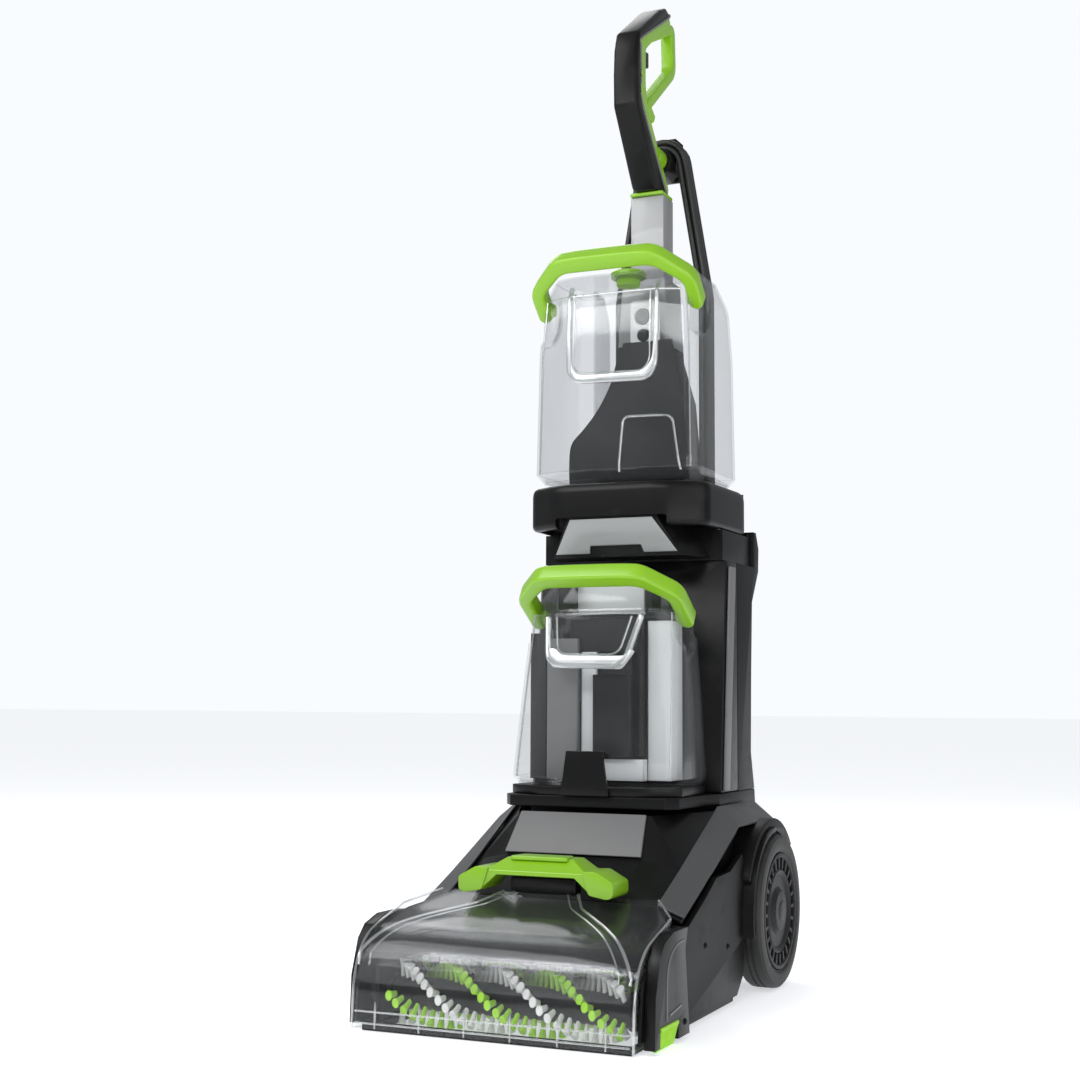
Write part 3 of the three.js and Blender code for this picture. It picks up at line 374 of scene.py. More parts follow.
def worked(mesh, *steps):
    """The mesh with modifiers applied. Each step is a modifier's type and its settings."""
    holder = bpy.data.objects.new("holder", mesh)
    SCENE.collection.objects.link(holder)
    tools = []
    for kind, settings in steps:
        modifier = holder.modifiers.new(kind.lower(), kind)
        for key, setting in settings.items():
            if isinstance(setting, bpy.types.Mesh):
                setting = bpy.data.objects.new("tool", setting)
                SCENE.collection.objects.link(setting)
                tools.append(setting)
            setattr(modifier, key, setting)
    graph = bpy.context.evaluated_depsgraph_get()
    made = bpy.data.meshes.new_from_object(holder.evaluated_get(graph))
    for thing in (holder, *tools):
        bpy.data.objects.remove(thing)
    return made


def bevel(width, segments=3, limit=28):
    """A rounded edge of that width in millimetres wherever faces meet at more than limit degrees."""
    settings = {
        "width": width * MM,
        "segments": segments,
        "limit_method": "ANGLE",
        "angle_limit": math.radians(limit),
        "use_clamp_overlap": True,
        "miter_outer": "MITER_ARC",
    }
    return "BEVEL", settings


def wall(thickness):
    """A skin given that thickness in millimetres, inwards."""
    return "SOLIDIFY", {"thickness": thickness * MM, "offset": -1, "use_even_offset": True}


def cut_by(tool):
    """A cut in the shape of another mesh."""
    return "BOOLEAN", {"operation": "DIFFERENCE", "solver": "EXACT", "object": tool}


def from_cad(node):
    """A copy of a CAD node's shape, merged, with the edges inside its flat faces dissolved."""
    shape = bmesh.new()
    shape.from_mesh(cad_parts[node].data)
    bmesh.ops.remove_doubles(shape, verts=shape.verts, dist=1e-5)
    flat = math.radians(0.6)
    bmesh.ops.dissolve_limit(shape, angle_limit=flat, verts=shape.verts, edges=shape.edges)
    mesh = bpy.data.meshes.new(node)
    shape.to_mesh(mesh)
    shape.free()
    return mesh


def piece(name, mesh, finish, body, replaces=(), crease=34):
    """A finished piece: smooth up to that crease angle, riding on its body, with its finish as its one
    material.
    """
    mesh.materials.clear()
    mesh.materials.append(finish)
    mesh.name = name
    mesh.polygons.foreach_set("material_index", [0] * len(mesh.polygons))
    mesh.shade_smooth()
    mesh.set_sharp_from_angle(angle=math.radians(crease))
    made = bpy.data.objects.new(name, mesh)
    SCENE.collection.objects.link(made)
    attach(made, body)
    if replaces:
        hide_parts(*replaces)
    return made


def softened(node, finish, body, width=1.2, cuts=()):
    """A CAD node with its edges rounded, standing for that node."""
    mesh = worked(from_cad(node), *(cut_by(tool) for tool in cuts), bevel(width))
    return piece(node + "_shell", mesh, finish, body, (node,))


def carried(node, finish):
    """A CAD node that stays as it is, in a better material."""
    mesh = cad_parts[node].data
    mesh.materials.clear()
    mesh.materials.append(finish)


def loft(rings, caps=True, ring_closed=True):
    """A skin through rings of points."""
    count = len(rings[0])
    points = [p for ring in rings for p in ring]
    faces = []
    for k in range(len(rings) - 1):
        for i in range(count if ring_closed else count - 1):
            j = (i + 1) % count
            faces.append((k * count + i, k * count + j, (k + 1) * count + j, (k + 1) * count + i))
    if caps:
        faces.append(tuple(range(count)))
        faces.append(tuple(range((len(rings) - 1) * count, len(rings) * count)))
    return mesh_of("loft", points, faces)


def cornered(points, radius, steps=5):
    """A closed outline with its corners rounded. A point may hold its own radius as a third number."""
    made = []
    for i, point in enumerate(points):
        corner = Vector(point[:2])
        before = Vector(points[i - 1][:2]) - corner
        after = Vector(points[(i + 1) % len(points)][:2]) - corner
        reach = min(point[2] if len(point) > 2 else radius, 0.48 * before.length, 0.48 * after.length)
        start = corner + before.normalized() * reach
        end = corner + after.normalized() * reach
        for step in range(steps + 1):
            u = step / steps
            made.append(tuple(start * (1 - u) ** 2 + corner * (2 * u * (1 - u)) + end * u**2))
    return made


def both_sides(points):
    """An outline from its right-hand half, which starts and ends near the middle."""
    return [*points, *((-p[0], *p[1:]) for p in reversed(points))]


def flowing(points, per=6):
    """A smooth line through points, with per steps from each to the next."""
    line = [Vector(p) for p in points]
    ends = [line[0] * 2 - line[1], *line, line[-1] * 2 - line[-2]]
    made = []
    for a, b, c, d in zip(ends, ends[1:], ends[2:], ends[3:]):
        for step in range(per):
            u = step / per
            bend = 2 * a - 5 * b + 4 * c - d
            twist = 3 * b - a - 3 * c + d
            made.append(0.5 * (2 * b + (c - a) * u + bend * u**2 + twist * u**3))
    return [*made, line[-1]]


def slab(outline, axis, low, high):
    """An outline extruded along an axis. Its points are the other two coordinates, in X, Y, Z order."""

    def at(p, depth):
        return {"X": (depth, *p), "Y": (p[0], depth, p[1]), "Z": (*p, depth)}[axis]

    return loft([[at(p[:2], low) for p in outline], [at(p[:2], high) for p in outline]])


def rect(a, b, c, d):
    """A rectangle from a to b in its first coordinate and from c to d in its second."""
    return [(a, c), (b, c), (b, d), (a, d)]


def block(outline, axis, low, high, corner, edge, segments=2, steps=5, limit=28):
    """An outline with rounded corners, extruded along an axis, with its edges rounded too."""
    return worked(slab(cornered(outline, corner, steps), axis, low, high), bevel(edge, segments, limit))


def turned(profile, axis, centre, steps=48, closed=False):
    """A profile of (radius, distance along the axis) turned round an axis through centre."""
    rows = []
    for step in range(steps):
        angle = 2 * math.pi * step / steps
        row = []
        for radius, along in profile:
            u, v = radius * math.cos(angle), radius * math.sin(angle)
            local = {"X": (along, u, v), "Y": (v, along, u), "Z": (u, v, along)}[axis]
            row.append(tuple(c + p for c, p in zip(centre, local)))
        rows.append(row)
    return loft([*rows, rows[0]], caps=False, ring_closed=closed)


def swept(path, section, up=(0, 0, 1)):
    """A section of (side, height) points swept along a path of points, kept upright by up."""
    line = [Vector(p) for p in path]
    rings = []
    for i, point in enumerate(line):
        before = line[max(i - 1, 0)]
        after = line[min(i + 1, len(line) - 1)]
        ahead = (after - before).normalized()
        side = ahead.cross(Vector(up)).normalized()
        rise = side.cross(ahead)
        rings.append([tuple(point + side * a + rise * b) for a, b in section])
    return loft(rings)


def disc(radius, sides):
    """A round section."""
    angles = [2 * math.pi * i / sides for i in range(sides)]
    return [(radius * math.cos(angle), radius * math.sin(angle)) for angle in angles]


# ---- Copies along a line, ring or helix, by geometry nodes ----
def copies_tree():
    """Copies of an object along X on a helix: a ring when Length is 0, and a row when Radius is 0."""
    tree = bpy.data.node_groups.new("copies_on_helix", "GeometryNodeTree")
    tree.interface.new_socket("Geometry", in_out="OUTPUT", socket_type="NodeSocketGeometry")
    for name, kind in (
        ("Copy", "Object"),
        ("Count", "Int"),
        ("Length", "Float"),
        ("Turns", "Float"),
        ("Radius", "Float"),
        ("Phase", "Float"),
        ("Sway", "Float"),
        ("Seed", "Int"),
        ("Finish", "Material"),
    ):
        tree.interface.new_socket(name, in_out="INPUT", socket_type="NodeSocket" + kind)
    given = tree.nodes.new("NodeGroupInput").outputs

    def node(kind, settings=None, values=(), out=0):
        made = tree.nodes.new(kind)
        for key, setting in (settings or {}).items():
            setattr(made, key, setting)
        for key, value in values.items() if isinstance(values, dict) else enumerate(values):
            if isinstance(value, bpy.types.NodeSocket):
                tree.links.new(value, made.inputs[key])
            else:
                made.inputs[key].default_value = value
        return made.outputs[out]

    def sums(operation, *values):
        return node("ShaderNodeMath", {"operation": operation}, values)

    gaps = sums("MAXIMUM", sums("SUBTRACT", given["Count"], 1), 1)
    share = sums("DIVIDE", node("GeometryNodeInputIndex"), gaps)
    turned_by = sums("MULTIPLY", sums("MULTIPLY", share, given["Turns"]), 2 * math.pi)
    angle = sums("ADD", turned_by, given["Phase"])
    place = node(
        "ShaderNodeCombineXYZ",
        values=(
            sums("MULTIPLY", share, given["Length"]),
            sums("MULTIPLY", given["Radius"], sums("COSINE", angle)),
            sums("MULTIPLY", given["Radius"], sums("SINE", angle)),
        ),
    )
    line = node("GeometryNodeMeshLine", values={"Count": given["Count"]})
    points = node("GeometryNodeSetPosition", values={"Geometry": line, "Position": place})
    least = sums("MULTIPLY", given["Sway"], -1)
    lean = node(
        "FunctionNodeRandomValue",
        {"data_type": "FLOAT"},
        {2: least, 3: given["Sway"], "ID": node("GeometryNodeInputIndex"), "Seed": given["Seed"]},
        out=1,
    )
    turn = node("ShaderNodeCombineXYZ", values=(angle, 0.0, lean))
    thing = node("GeometryNodeObjectInfo", values={"Object": given["Copy"]}, out="Geometry")
    spread = {"Points": points, "Instance": thing, "Rotation": turn}
    grown = node("GeometryNodeInstanceOnPoints", values=spread)
    real = node("GeometryNodeRealizeInstances", values={"Geometry": grown})
    painted = node("GeometryNodeSetMaterial", values={"Geometry": real, "Material": given["Finish"]})
    tree.links.new(painted, tree.nodes.new("NodeGroupOutput").inputs[0])
    return tree


COPIES = copies_tree()


def copies(mesh, count, finish, length=0.0, turns=None, radius=0.0, phase=0.0, sway=0.0, seed=1):
    """Copies of mesh on a helix round X: lengths in millimetres, and phase and sway in degrees."""
    copy = bpy.data.objects.new("copy", mesh)
    holder = bpy.data.objects.new("holder", bpy.data.meshes.new("holder"))
    SCENE.collection.objects.link(holder)
    SCENE.collection.objects.link(copy)
    modifier = holder.modifiers.new("copies", "NODES")
    modifier.node_group = COPIES
    values = {
        "Copy": copy,
        "Count": count,
        "Length": length * MM,
        "Turns": (count - 1) / count if turns is None else turns,
        "Radius": radius * MM,
        "Phase": math.radians(phase),
        "Sway": math.radians(sway),
        "Seed": seed,
        "Finish": finish,
    }
    for item in COPIES.interface.items_tree:
        if item.in_out == "INPUT":
            value = values[item.name]
            modifier[item.identifier] = float(value) if item.socket_type == "NodeSocketFloat" else value
    graph = bpy.context.evaluated_depsgraph_get()
    made = bpy.data.meshes.new_from_object(holder.evaluated_get(graph))
    bpy.data.objects.remove(holder)
    bpy.data.objects.remove(copy)
    return made


ORIGIN = (0, 0, 0)
X_TO_Y = Matrix.Rotation(math.pi / 2, 4, "Z")
X_TO_Z = Matrix.Rotation(-math.pi / 2, 4, "Y")


def screw_head(radius):
    """A pan head with a cross recess, its axis along X and its top towards +X."""
    arm = radius * 0.6
    dome = turned([(0, 1.6), (arm, 1.35), (radius, 0.4), (radius, 0), (0, 0)], "X", ORIGIN, 20)
    bar = slab(rect(-arm, arm, -0.5, 0.5), "X", 0.7, 2)
    cross = moved(bar, Matrix.Rotation(math.pi / 2, 4, "X"))
    return worked(dome, cut_by(bar), cut_by(cross))


# ---- Mains lead: out of the relief, round the two hooks and back to the plug ----
CORD = {"radius": 3.5, "pitch": 7.2, "y": 219.0, "length": 6.1, "step": 7.0}
HOOKS = {"top": (932, 21), "shoulder": (765, 48), "bottom": (394, 48)}
LEAD = [(86, 214, 330.4), (86, 214, 346), (82.5, 213.7, 366), (74, 213, 391), (64, 212.4, 416)]
PLUG = {"x": -80.0, "y": 232.9, "neck": 628, "top": 602, "bottom": 566, "tip": 548}
RELIEF = {"x": 86, "y": 214, "low": 300, "top": 330}
TURN_START = 46
# Each turn's lane as (row outwards, layer backwards), and the share of a turn at which it changes lane.
LANES = [(1, 0), (0, 0), (0, 1), (1, 1), (1, 2)]
SHIFTS = [0.93, 0.86, 0.79, 0.72]
SHIFT_LENGTH = 0.055
LAST_HEIGHT = 722


def hook_outline(extra):
    """One turn as (x, z) points from low on the right-hand strand, up, over and round, every step."""
    (top, r_top), (mid, r_mid), (low, r_low) = HOOKS.values()
    lean = math.asin((r_mid - r_top) / (top - mid))
    start = low + TURN_START
    pieces = [("line", (r_low + extra, start), (r_mid + extra, mid))]

    def arc(z, radius, start, end):
        pieces.append(("arc", z, radius + extra, start, end))

    def tangent(z, radius, angle):
        return ((radius + extra) * math.cos(angle), z + (radius + extra) * math.sin(angle))

    arc(mid, r_mid, 0, lean)
    pieces.append(("line", tangent(mid, r_mid, lean), tangent(top, r_top, lean)))
    arc(top, r_top, lean, math.pi - lean)
    pieces.append(("line", tangent(top, r_top, math.pi - lean), tangent(mid, r_mid, math.pi - lean)))
    arc(mid, r_mid, math.pi - lean, math.pi)
    pieces.append(("line", (-r_mid - extra, mid), (-r_low - extra, low)))
    arc(low, r_low, math.pi, 2 * math.pi)
    pieces.append(("line", (r_low + extra, low), (r_low + extra, start)))
    points = []
    # An arc's steps depend on the inner turn, so that all turns have the same number of points.
    for kind, *facts in pieces:
        if kind == "line":
            start, end = Vector(facts[0]), Vector(facts[1])
            steps = max(1, round((end - start).length / CORD["step"]))
            points += [tuple(start.lerp(end, i / steps)) for i in range(steps)]
        else:
            z, radius, a, b = facts
            steps = max(2, round((radius - extra) * (b - a) / CORD["step"] * 1.4))
            angles = [a + (b - a) * i / steps for i in range(steps)]
            points += [(radius * math.cos(t), z + radius * math.sin(t)) for t in angles]
    return points


def eased(u):
    """0 to 1 as u goes from 0 to 1, with a soft start and end."""
    u = min(1.0, max(0.0, u))
    return u * u * (3 - 2 * u)


def cord_line():
    """The whole lead's centre line. Each turn moves to its next lane before the turn after it does."""
    inner, outer = hook_outline(0), hook_outline(CORD["pitch"])
    layers = [CORD["y"] - CORD["pitch"], CORD["y"], CORD["y"] + CORD["pitch"]]
    points = list(LEAD)
    count = len(inner)
    for turn, (row, layer) in enumerate(LANES):
        next_row, next_layer = LANES[min(turn + 1, len(LANES) - 1)]
        last = turn == len(LANES) - 1
        for i in range(count):
            share = i / count
            x_in, z_in = inner[i]
            if last and x_in < 0 and z_in < LAST_HEIGHT:
                break
            moved_on = 0 if last else eased((share - SHIFTS[turn]) / SHIFT_LENGTH)
            across = row + (next_row - row) * moved_on
            depth = layers[layer] + (layers[next_layer] - layers[layer]) * moved_on
            x_out, z_out = outer[i]
            points.append((x_in + (x_out - x_in) * across, depth, z_in + (z_out - z_in) * across))
    low = Vector(points[-1])
    neck = Vector((PLUG["x"], PLUG["y"], PLUG["neck"]))
    steps = 12
    for i in range(1, steps + 1):
        u = i / steps
        side = low.lerp(neck, eased(u))
        points.append((side.x, side.y, low.z + (neck.z - low.z) * u))
    return points


def mains_lead():
    """The lead as a round curve along its whole line."""
    data = bpy.data.curves.new("mains_lead", "CURVE")
    data.dimensions = "3D"
    data.bevel_depth = CORD["radius"] * MM
    data.bevel_resolution = 3
    data.use_fill_caps = True
    line = cord_line()
    spline = data.splines.new("POLY")
    spline.points.add(len(line) - 1)
    for point, place in zip(spline.points, line):
        point.co = (*(Vector(place) * MM), 1)
    spline.use_smooth = True
    data.materials.append(CORD_BLACK)
    lead = bpy.data.objects.new("mains_lead", data)
    SCENE.collection.objects.link(lead)
    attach(lead, "upright")
    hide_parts("cord_lead", "cord_winding")
    return lead


def strain_relief():
    """A tapered sleeve with bending slots as rings."""
    x, y, low, top = (RELIEF[key] for key in ("x", "y", "low", "top"))
    profile = [(0, low + 0.4), (7.4, low + 0.4), (7.4, low + 4)]
    for i in range(5):
        a = low + 5 + i * 4.6
        r = 7.0 - i * 0.5
        profile += [(r, a), (r, a + 2.6), (r - 1.4, a + 3.0), (r - 1.5, a + 4.2)]
    profile += [(4.7, top - 1.4), (4.3, top), (0, top)]
    mesh = turned(profile, "Z", (x, y, 0), 28)
    piece("strain_relief_sleeve", mesh, CORD_BLACK, "upright", ("strain_relief",))


def power_plug():
    """A moulded two-blade plug with a ribbed grip and a clip that holds it to the wound lead."""
    x, y, neck, top, bottom, tip = (PLUG[key] for key in ("x", "y", "neck", "top", "bottom", "tip"))
    outline = [(x + 10, bottom, 1.5), (x + 12.4, top - 12, 3), (x + 8.6, top, 4)]
    outline += [(x - 8.6, top, 4), (x - 12.4, top - 12, 3), (x - 10, bottom, 1.5)]
    body = block(outline, "Y", y - 8.2, y + 8.2, 2, 2.6, 4)
    slots = (cornered(rect(x - 7, x + 7, z, z + 1.6), 0.7) for z in (574, 579, 584, 589))
    grooves = [slab(groove, "Y", y + 7.4, y + 10) for groove in slots]
    body = worked(body, *(cut_by(groove) for groove in grooves))
    rings = [(0, top - 3), (6.6, top - 3), (6.4, top + 3)]
    for i in range(4):
        a = top + 4 + i * 5
        ridge, groove = 6.0 - i * 0.45, 4.8 - i * 0.2
        rings += [(ridge, a), (ridge, a + 2.6), (groove, a + 3.2), (groove, a + 4.4)]
    rings += [(4.1, neck - 0.6), (3.9, neck), (0, neck)]
    sleeve = turned(rings, "Z", (x, y, 0), 24)
    clip_plan = [(x + 11.5, 228.6), (x + 24.5, 221), (x + 25.8, 224), (x + 11.5, 235)]
    clip = block(clip_plan, "Z", 572, 586, 1.2, 0.8)
    shell = piece("plug_body", joined(body, sleeve, clip), CORD_BLACK, "upright", ("power_plug",))
    near, far, root, end = y - 3.2, y + 3.2, bottom + 2, tip + 1.5
    face = [(near, root), (far, root), (far, end, 1.5), (near, end, 1.5)]
    blades = [block(face, "X", x + a - 0.75, x + a + 0.75, 0.2, 0.3, steps=3) for a in (-6.3, 6.3)]
    return shell, piece("plug_blades", joined(*blades), BRASS, "upright")


LEAD_PIECE = mains_lead()
strain_relief()
PLUG_PIECES = power_plug()


# ---- Foot ----
SIDES = (("left", -1), ("right", 1))
CAD_SKINS = {
    "foot_chassis": (GRAINED, 1.0),
    "foot_top_cover": (BLACK, 2.2),
    "front_panel": (PANEL_GREY, 1.0),
    "sole_plate": (GRAINED, 1.0),
    "shoulder_trim_left": (TRIM_GREY, 1.1),
    "shoulder_trim_right": (TRIM_GREY, 1.1),
    "foot_side_left": (GRAINED, 1.4),
    "foot_side_right": (GRAINED, 1.4),
    "nozzle_cheek_left": (BLACK, 2.4),
    "nozzle_cheek_right": (BLACK, 2.4),
}


def foot_shells():
    """The foot's covers and skins, each a CAD node with softened edges."""
    for node, (finish, width) in CAD_SKINS.items():
        softened(node, finish, "foot", width)


HOOD_HALF = {"front": 138.3, "rear": 112, "from": -150, "length": 38}


def hood_half(y):
    """Half the hood's width: its rear corners are trimmed towards the latch."""
    front, rear, start, length = HOOD_HALF.values()
    return front if y < start else front + (rear - front) * (y - start) / length


def brush_shroud():
    """Painted shade as a black sheet under the clear nozzle, and the divider between the rolls."""
    profile = [(-112, 112), (-135, 105.5), (-160, 98), (-196, 87), (-214, 80.5), (-227, 71)]
    line = flowing([(0, y, z) for y, z in profile], 5)
    rings = [[(share * (hood_half(p.y) - 4), p.y, p.z) for p in line] for share in (-1, -0.5, 0, 0.5, 1)]
    # This black sheet paints the shade inside the brush chamber, above the rolls.
    shade_sheet = worked(loft(rings, caps=False, ring_closed=False), wall(2.2), bevel(0.6, 2))
    divider = worked(slab(rect(-134, 134, -178, -176), "Z", 64, 91), bevel(0.5, 2))
    piece("brush_shroud", joined(shade_sheet, divider), BLACK, "foot")


def cheek_trim():
    """The thin pale line round each cheek's recessed field, and a moulded slot below it."""
    line = [(-198, 24), (-197, 58), (-190, 76), (-172, 86), (-152, 88)]
    slot_plan = cornered([(-190, 27), (-160, 31), (-160, 33), (-190, 29)], 0.8)
    for side, s in SIDES:
        bead = swept(flowing([(150 * s, y, z) for y, z in line], 5), disc(1.0, 8))
        slot_bar = slab(slot_plan, "X", 149.6 * s, 150.5 * s)
        piece("cheek_line_" + side, joined(bead, slot_bar), PANEL_GREY, "foot")


def edge_brushes():
    """Rows of short bristle bundles along each cheek's foot, leaning outwards."""
    tuft = turned([(0, 0), (1.1, 0), (1.5, 8), (2.5, 18.5), (1.6, 20.6), (0, 19.6)], "Z", ORIGIN, 7)
    for side, s in SIDES:
        rows = []
        for row, (x, lean) in enumerate(((145.6, 4), (148.4, 13), (150.6, 20))):
            hung = moved(tuft, Matrix.Rotation(math.radians(-lean), 4, "X"))
            strip = copies(hung, 9, LIME_BRISTLE, length=42, turns=0, sway=7, seed=11 + row)
            strip = moved(strip, Matrix.Rotation(math.pi / 2, 4, "Z"))
            strip = moved(strip, Matrix.Scale(-1, 4, (0, 0, 1)))
            rows.append(shifted(strip, x, -212, 20.5))
        holder = [(144.2, 17.6), (151.2, 17.6), (150.8, 20.8), (144.2, 20.8)]
        mesh = on_side(joined(*rows, block(holder, "Y", -213.8, -168.2, 0.8, 0.5)), s)
        piece("edge_bristles_" + side, mesh, LIME_BRISTLE, "foot", ("edge_brush_" + side,))


def chamber_walls():
    """The black side walls of the brush chamber, between the cheeks and the side skins."""
    outline = [(-236, 10), (-98, 10), (-98, 92), (-150, 84), (-205, 76), (-228, 60)]
    for side, s in SIDES:
        mesh = on_side(block(outline, "X", 136.8, 139.4, 3, 0.5, 1), s)
        piece("chamber_wall_" + side, mesh, GRAINED, "foot")


def foot_screws():
    """Screws on the side skins and cheeks."""
    head = screw_head(3.0)
    places = [(139.8, -60, 70), (139.8, 10, 60), (139.8, -120, 30), (150.2, -150, 16)]
    screws = joined(*(shifted(head, *place) for place in places))
    for side, s in SIDES:
        piece("foot_screws_" + side, on_side(screws, s).copy(), BLACK, "foot")


def drive_parts():
    """Motor and belt beside the brush chamber."""
    for node, finish in (("spray_bar", CHARCOAL), ("suction_duct", CHARCOAL), ("drive_belt", TYRE)):
        carried(node, finish)
    softened("brush_motor", STEEL, "foot", 0.8)
    softened("motor_pulley", STEEL, "brush_drive", 0.3)
    softened("wheel_axle", STEEL, "foot", 0.6)


foot_shells()
brush_shroud()
cheek_trim()
edge_brushes()
chamber_walls()
foot_screws()
drive_parts()

# ---- Brush rolls ----
ROLL = {"left": -112.0, "right": 125.0, "core": 14.5, "tip": 29.0, "z": 32, "turns": 1.12, "tufts": 32}


def brush_roll(name, body, y, phase):
    """A dark core with its end caps and four helices of tufts, white and lime by turns."""
    low, high, core, z = ROLL["left"], ROLL["right"], ROLL["core"], ROLL["z"]
    profile = [(0, low - 1), (17, low - 1), (17, low + 3), (core, low + 4)]
    for i in range(8):
        a = low + 14 + i * 28
        profile += [(core, a), (core + 0.5, a + 1), (core + 0.5, a + 3), (core, a + 4)]
    profile += [(core, high - 4), (17, high - 3), (17, high + 1), (0, high + 1)]
    shaft = turned([(0, -138), (5, -138), (5, 146), (0, 146)], "X", (0, y, z), 20)
    groove = [(0, -133.4), (9.6, -133.4), (9.6, -132.6), (8.8, -132.2), (8.8, -129.6), (9.6, -129.2)]
    pulley = turned([*groove, (9.6, -128.4), (0, -128.4)], "X", (0, y, z), 28)
    roll = joined(turned(profile, "X", (0, y, z), 36), shaft, pulley)
    piece(name + "_core", roll, GRAINED, body, (name,))
    height = ROLL["tip"] - core + 1.5
    flare = [(0, 0), (2.4, 0), (2.9, height * 0.6), (4.3, height - 0.8), (3.6, height), (0, height - 0.8)]
    tuft = turned(flare, "Y", ORIGIN, 12)
    tuft = moved(tuft, Matrix.Diagonal((0.82, 1, 1.12, 1)))
    for colour, finish, offset in (("white", WHITE_BRISTLE, 0), ("lime", LIME_BRISTLE, -90)):
        shape = {"length": high - low - 14, "turns": ROLL["turns"], "radius": core - 1, "sway": 4, "seed": 3}
        starts = (phase + offset, phase + offset + 180)
        strands = [copies(tuft, ROLL["tufts"], finish, phase=start, **shape) for start in starts]
        piece(f"{name}_{colour}_tufts", shifted(joined(*strands), low + 7, y, z), finish, body)


brush_roll("front_brush_roll", "front_brush", -208, 88)
brush_roll("rear_brush_roll", "rear_brush", -146, 40)


# ---- Wheels and pedal ----
AXLE = (149, 80)


def wheel(side, s):
    """A soft tyre with two grooves on a dished rim with a ring of slots."""
    body = side + "_wheel"
    tread = [(61.5, 127.2), (66, 125.2), (73, 124.7), (77.4, 126), (79.5, 129), (80, 133), (80, 137)]
    tread += [(78.8, 137.5), (78.8, 139), (80, 139.5), (80, 143), (78.8, 143.5), (78.8, 145), (80, 145.5)]
    tread += [(80, 149), (79.2, 152.4), (76.6, 154.8), (72, 155.4), (66, 155.4), (64, 154.6)]
    tread += [(62.6, 153.2), (61.5, 153)]
    tyre = turned(tread, "X", (0, *AXLE), 72, closed=True)
    rim = [(5.4, 124.6), (14, 124.6), (14, 138), (56, 138), (58, 127.6), (61, 127.6), (61, 152.6)]
    rim += [(60, 154.4), (57, 154.8), (55.6, 153.4), (55.2, 148.2), (44.6, 148.2), (44, 152.6), (42, 154)]
    rim += [(39.6, 153), (37, 150.8), (25, 150.8), (22.4, 153), (20, 155), (12, 155.4), (5.4, 155.4)]
    dish = turned(rim, "X", (0, *AXLE), 72, closed=True)
    cap = turned([(0, 156.4), (6, 156.2), (10.6, 155.5), (11.4, 154.8), (0, 154.8)], "X", (0, *AXLE), 32)
    spoke = block([(-1.7, -5.8), (1.7, -5.8), (2.5, 5.8), (-2.5, 5.8)], "X", 0, 5.6, 0.8, 0.6, 1, 2)
    spoke = moved(spoke, Matrix.Rotation(-math.pi / 2, 4, "X"))
    spokes = shifted(copies(spoke, 24, CHARCOAL, radius=50), 148, *AXLE)
    for part, mesh, finish in (("tyre", tyre, TYRE), ("wheel_rim", joined(dish, spokes, cap), CHARCOAL)):
        piece(f"{part}_shape_{side}", on_side(mesh, s), finish, body, (f"{part}_{side}",))


for side, s in SIDES:
    wheel(side, s)

ARCH = {"inner": 83.5, "outer": 97, "rear": 42, "front": 160, "low": 120, "high": 147}


def wheel_arches():
    """The black arch over each wheel, close to its tread."""

    def arc(radius, angles):
        turns = [math.radians(angle) for angle in angles]
        return [(AXLE[0] + radius * math.cos(t), AXLE[1] + radius * math.sin(t)) for t in turns]

    angles = list(range(ARCH["rear"], ARCH["front"], 6))
    outline = arc(ARCH["outer"], angles) + arc(ARCH["inner"], angles[::-1])
    for side, s in SIDES:
        mesh = worked(slab(outline, "X", ARCH["low"], ARCH["high"]), bevel(1.5, 2, 40))
        piece("wheel_arch_" + side, on_side(mesh, s), GRAINED, "foot")


wheel_arches()

PEDAL_RIBS = {"left": -98, "length": 34, "y": (226, 230.5, 235, 239.5), "top": (222, 40.2), "slope": 0.167}


def pedal():
    """The pedal with four grip ribs."""
    softened("recline_pedal", BLACK, "pedal", 1.6)
    rib = block(rect(-0.9, 0.9, -0.4, 0.9), "X", 0, PEDAL_RIBS["length"], 0.5, 0.3, 1, 2)
    y0, z0 = PEDAL_RIBS["top"]
    places = [(PEDAL_RIBS["left"], y, z0 - (y - y0) * PEDAL_RIBS["slope"]) for y in PEDAL_RIBS["y"]]
    piece("pedal_ribs", joined(*(shifted(rib, *place) for place in places)), GRAINED, "pedal")


pedal()

# ---- Nozzle ----
HOOD = [(-245.8, 3.2), (-245.2, 17), (-243.2, 44), (-236.4, 65), (-222.6, 81), (-202, 91.2)]
HOOD += [(-160, 102.6), (-114.8, 116.6)]
HOOD_LINE = flowing([(0, y, z) for y, z in HOOD], 5)
NECK = {"y": -128, "half": 38}
FAN = {"y": -158, "half": 54}
MOUTH = {"y": -236, "half": 133}


def hood_normal(i):
    """The way out of the hood at a point of its line."""
    before = HOOD_LINE[max(i - 1, 0)]
    after = HOOD_LINE[min(i + 1, len(HOOD_LINE) - 1)]
    along = (after - before).normalized()
    return Vector((0, -along.z, along.y))


def hood_skin():
    """The clear hood, with its ends turned down."""
    columns = [-1, -0.993, -0.975, -0.94, -0.8, -0.5, -0.2, 0, 0.2, 0.5, 0.8, 0.94, 0.975, 0.993, 1]
    drops = {1: 3.2, 0.993: 1.6, 0.975: 0.5}
    rows = []
    for i, point in enumerate(HOOD_LINE):
        normal = hood_normal(i)
        half = hood_half(point.y)
        row = []
        for u in columns:
            sunk = point - normal * drops.get(abs(u), 0)
            row.append((u * half, sunk.y, sunk.z))
        rows.append(row)
    skin = worked(loft(rows, caps=False, ring_closed=False), wall(2.6))
    piece("nozzle_skin", skin, HOOD_CLEAR, "nozzle", ("nozzle_window",))


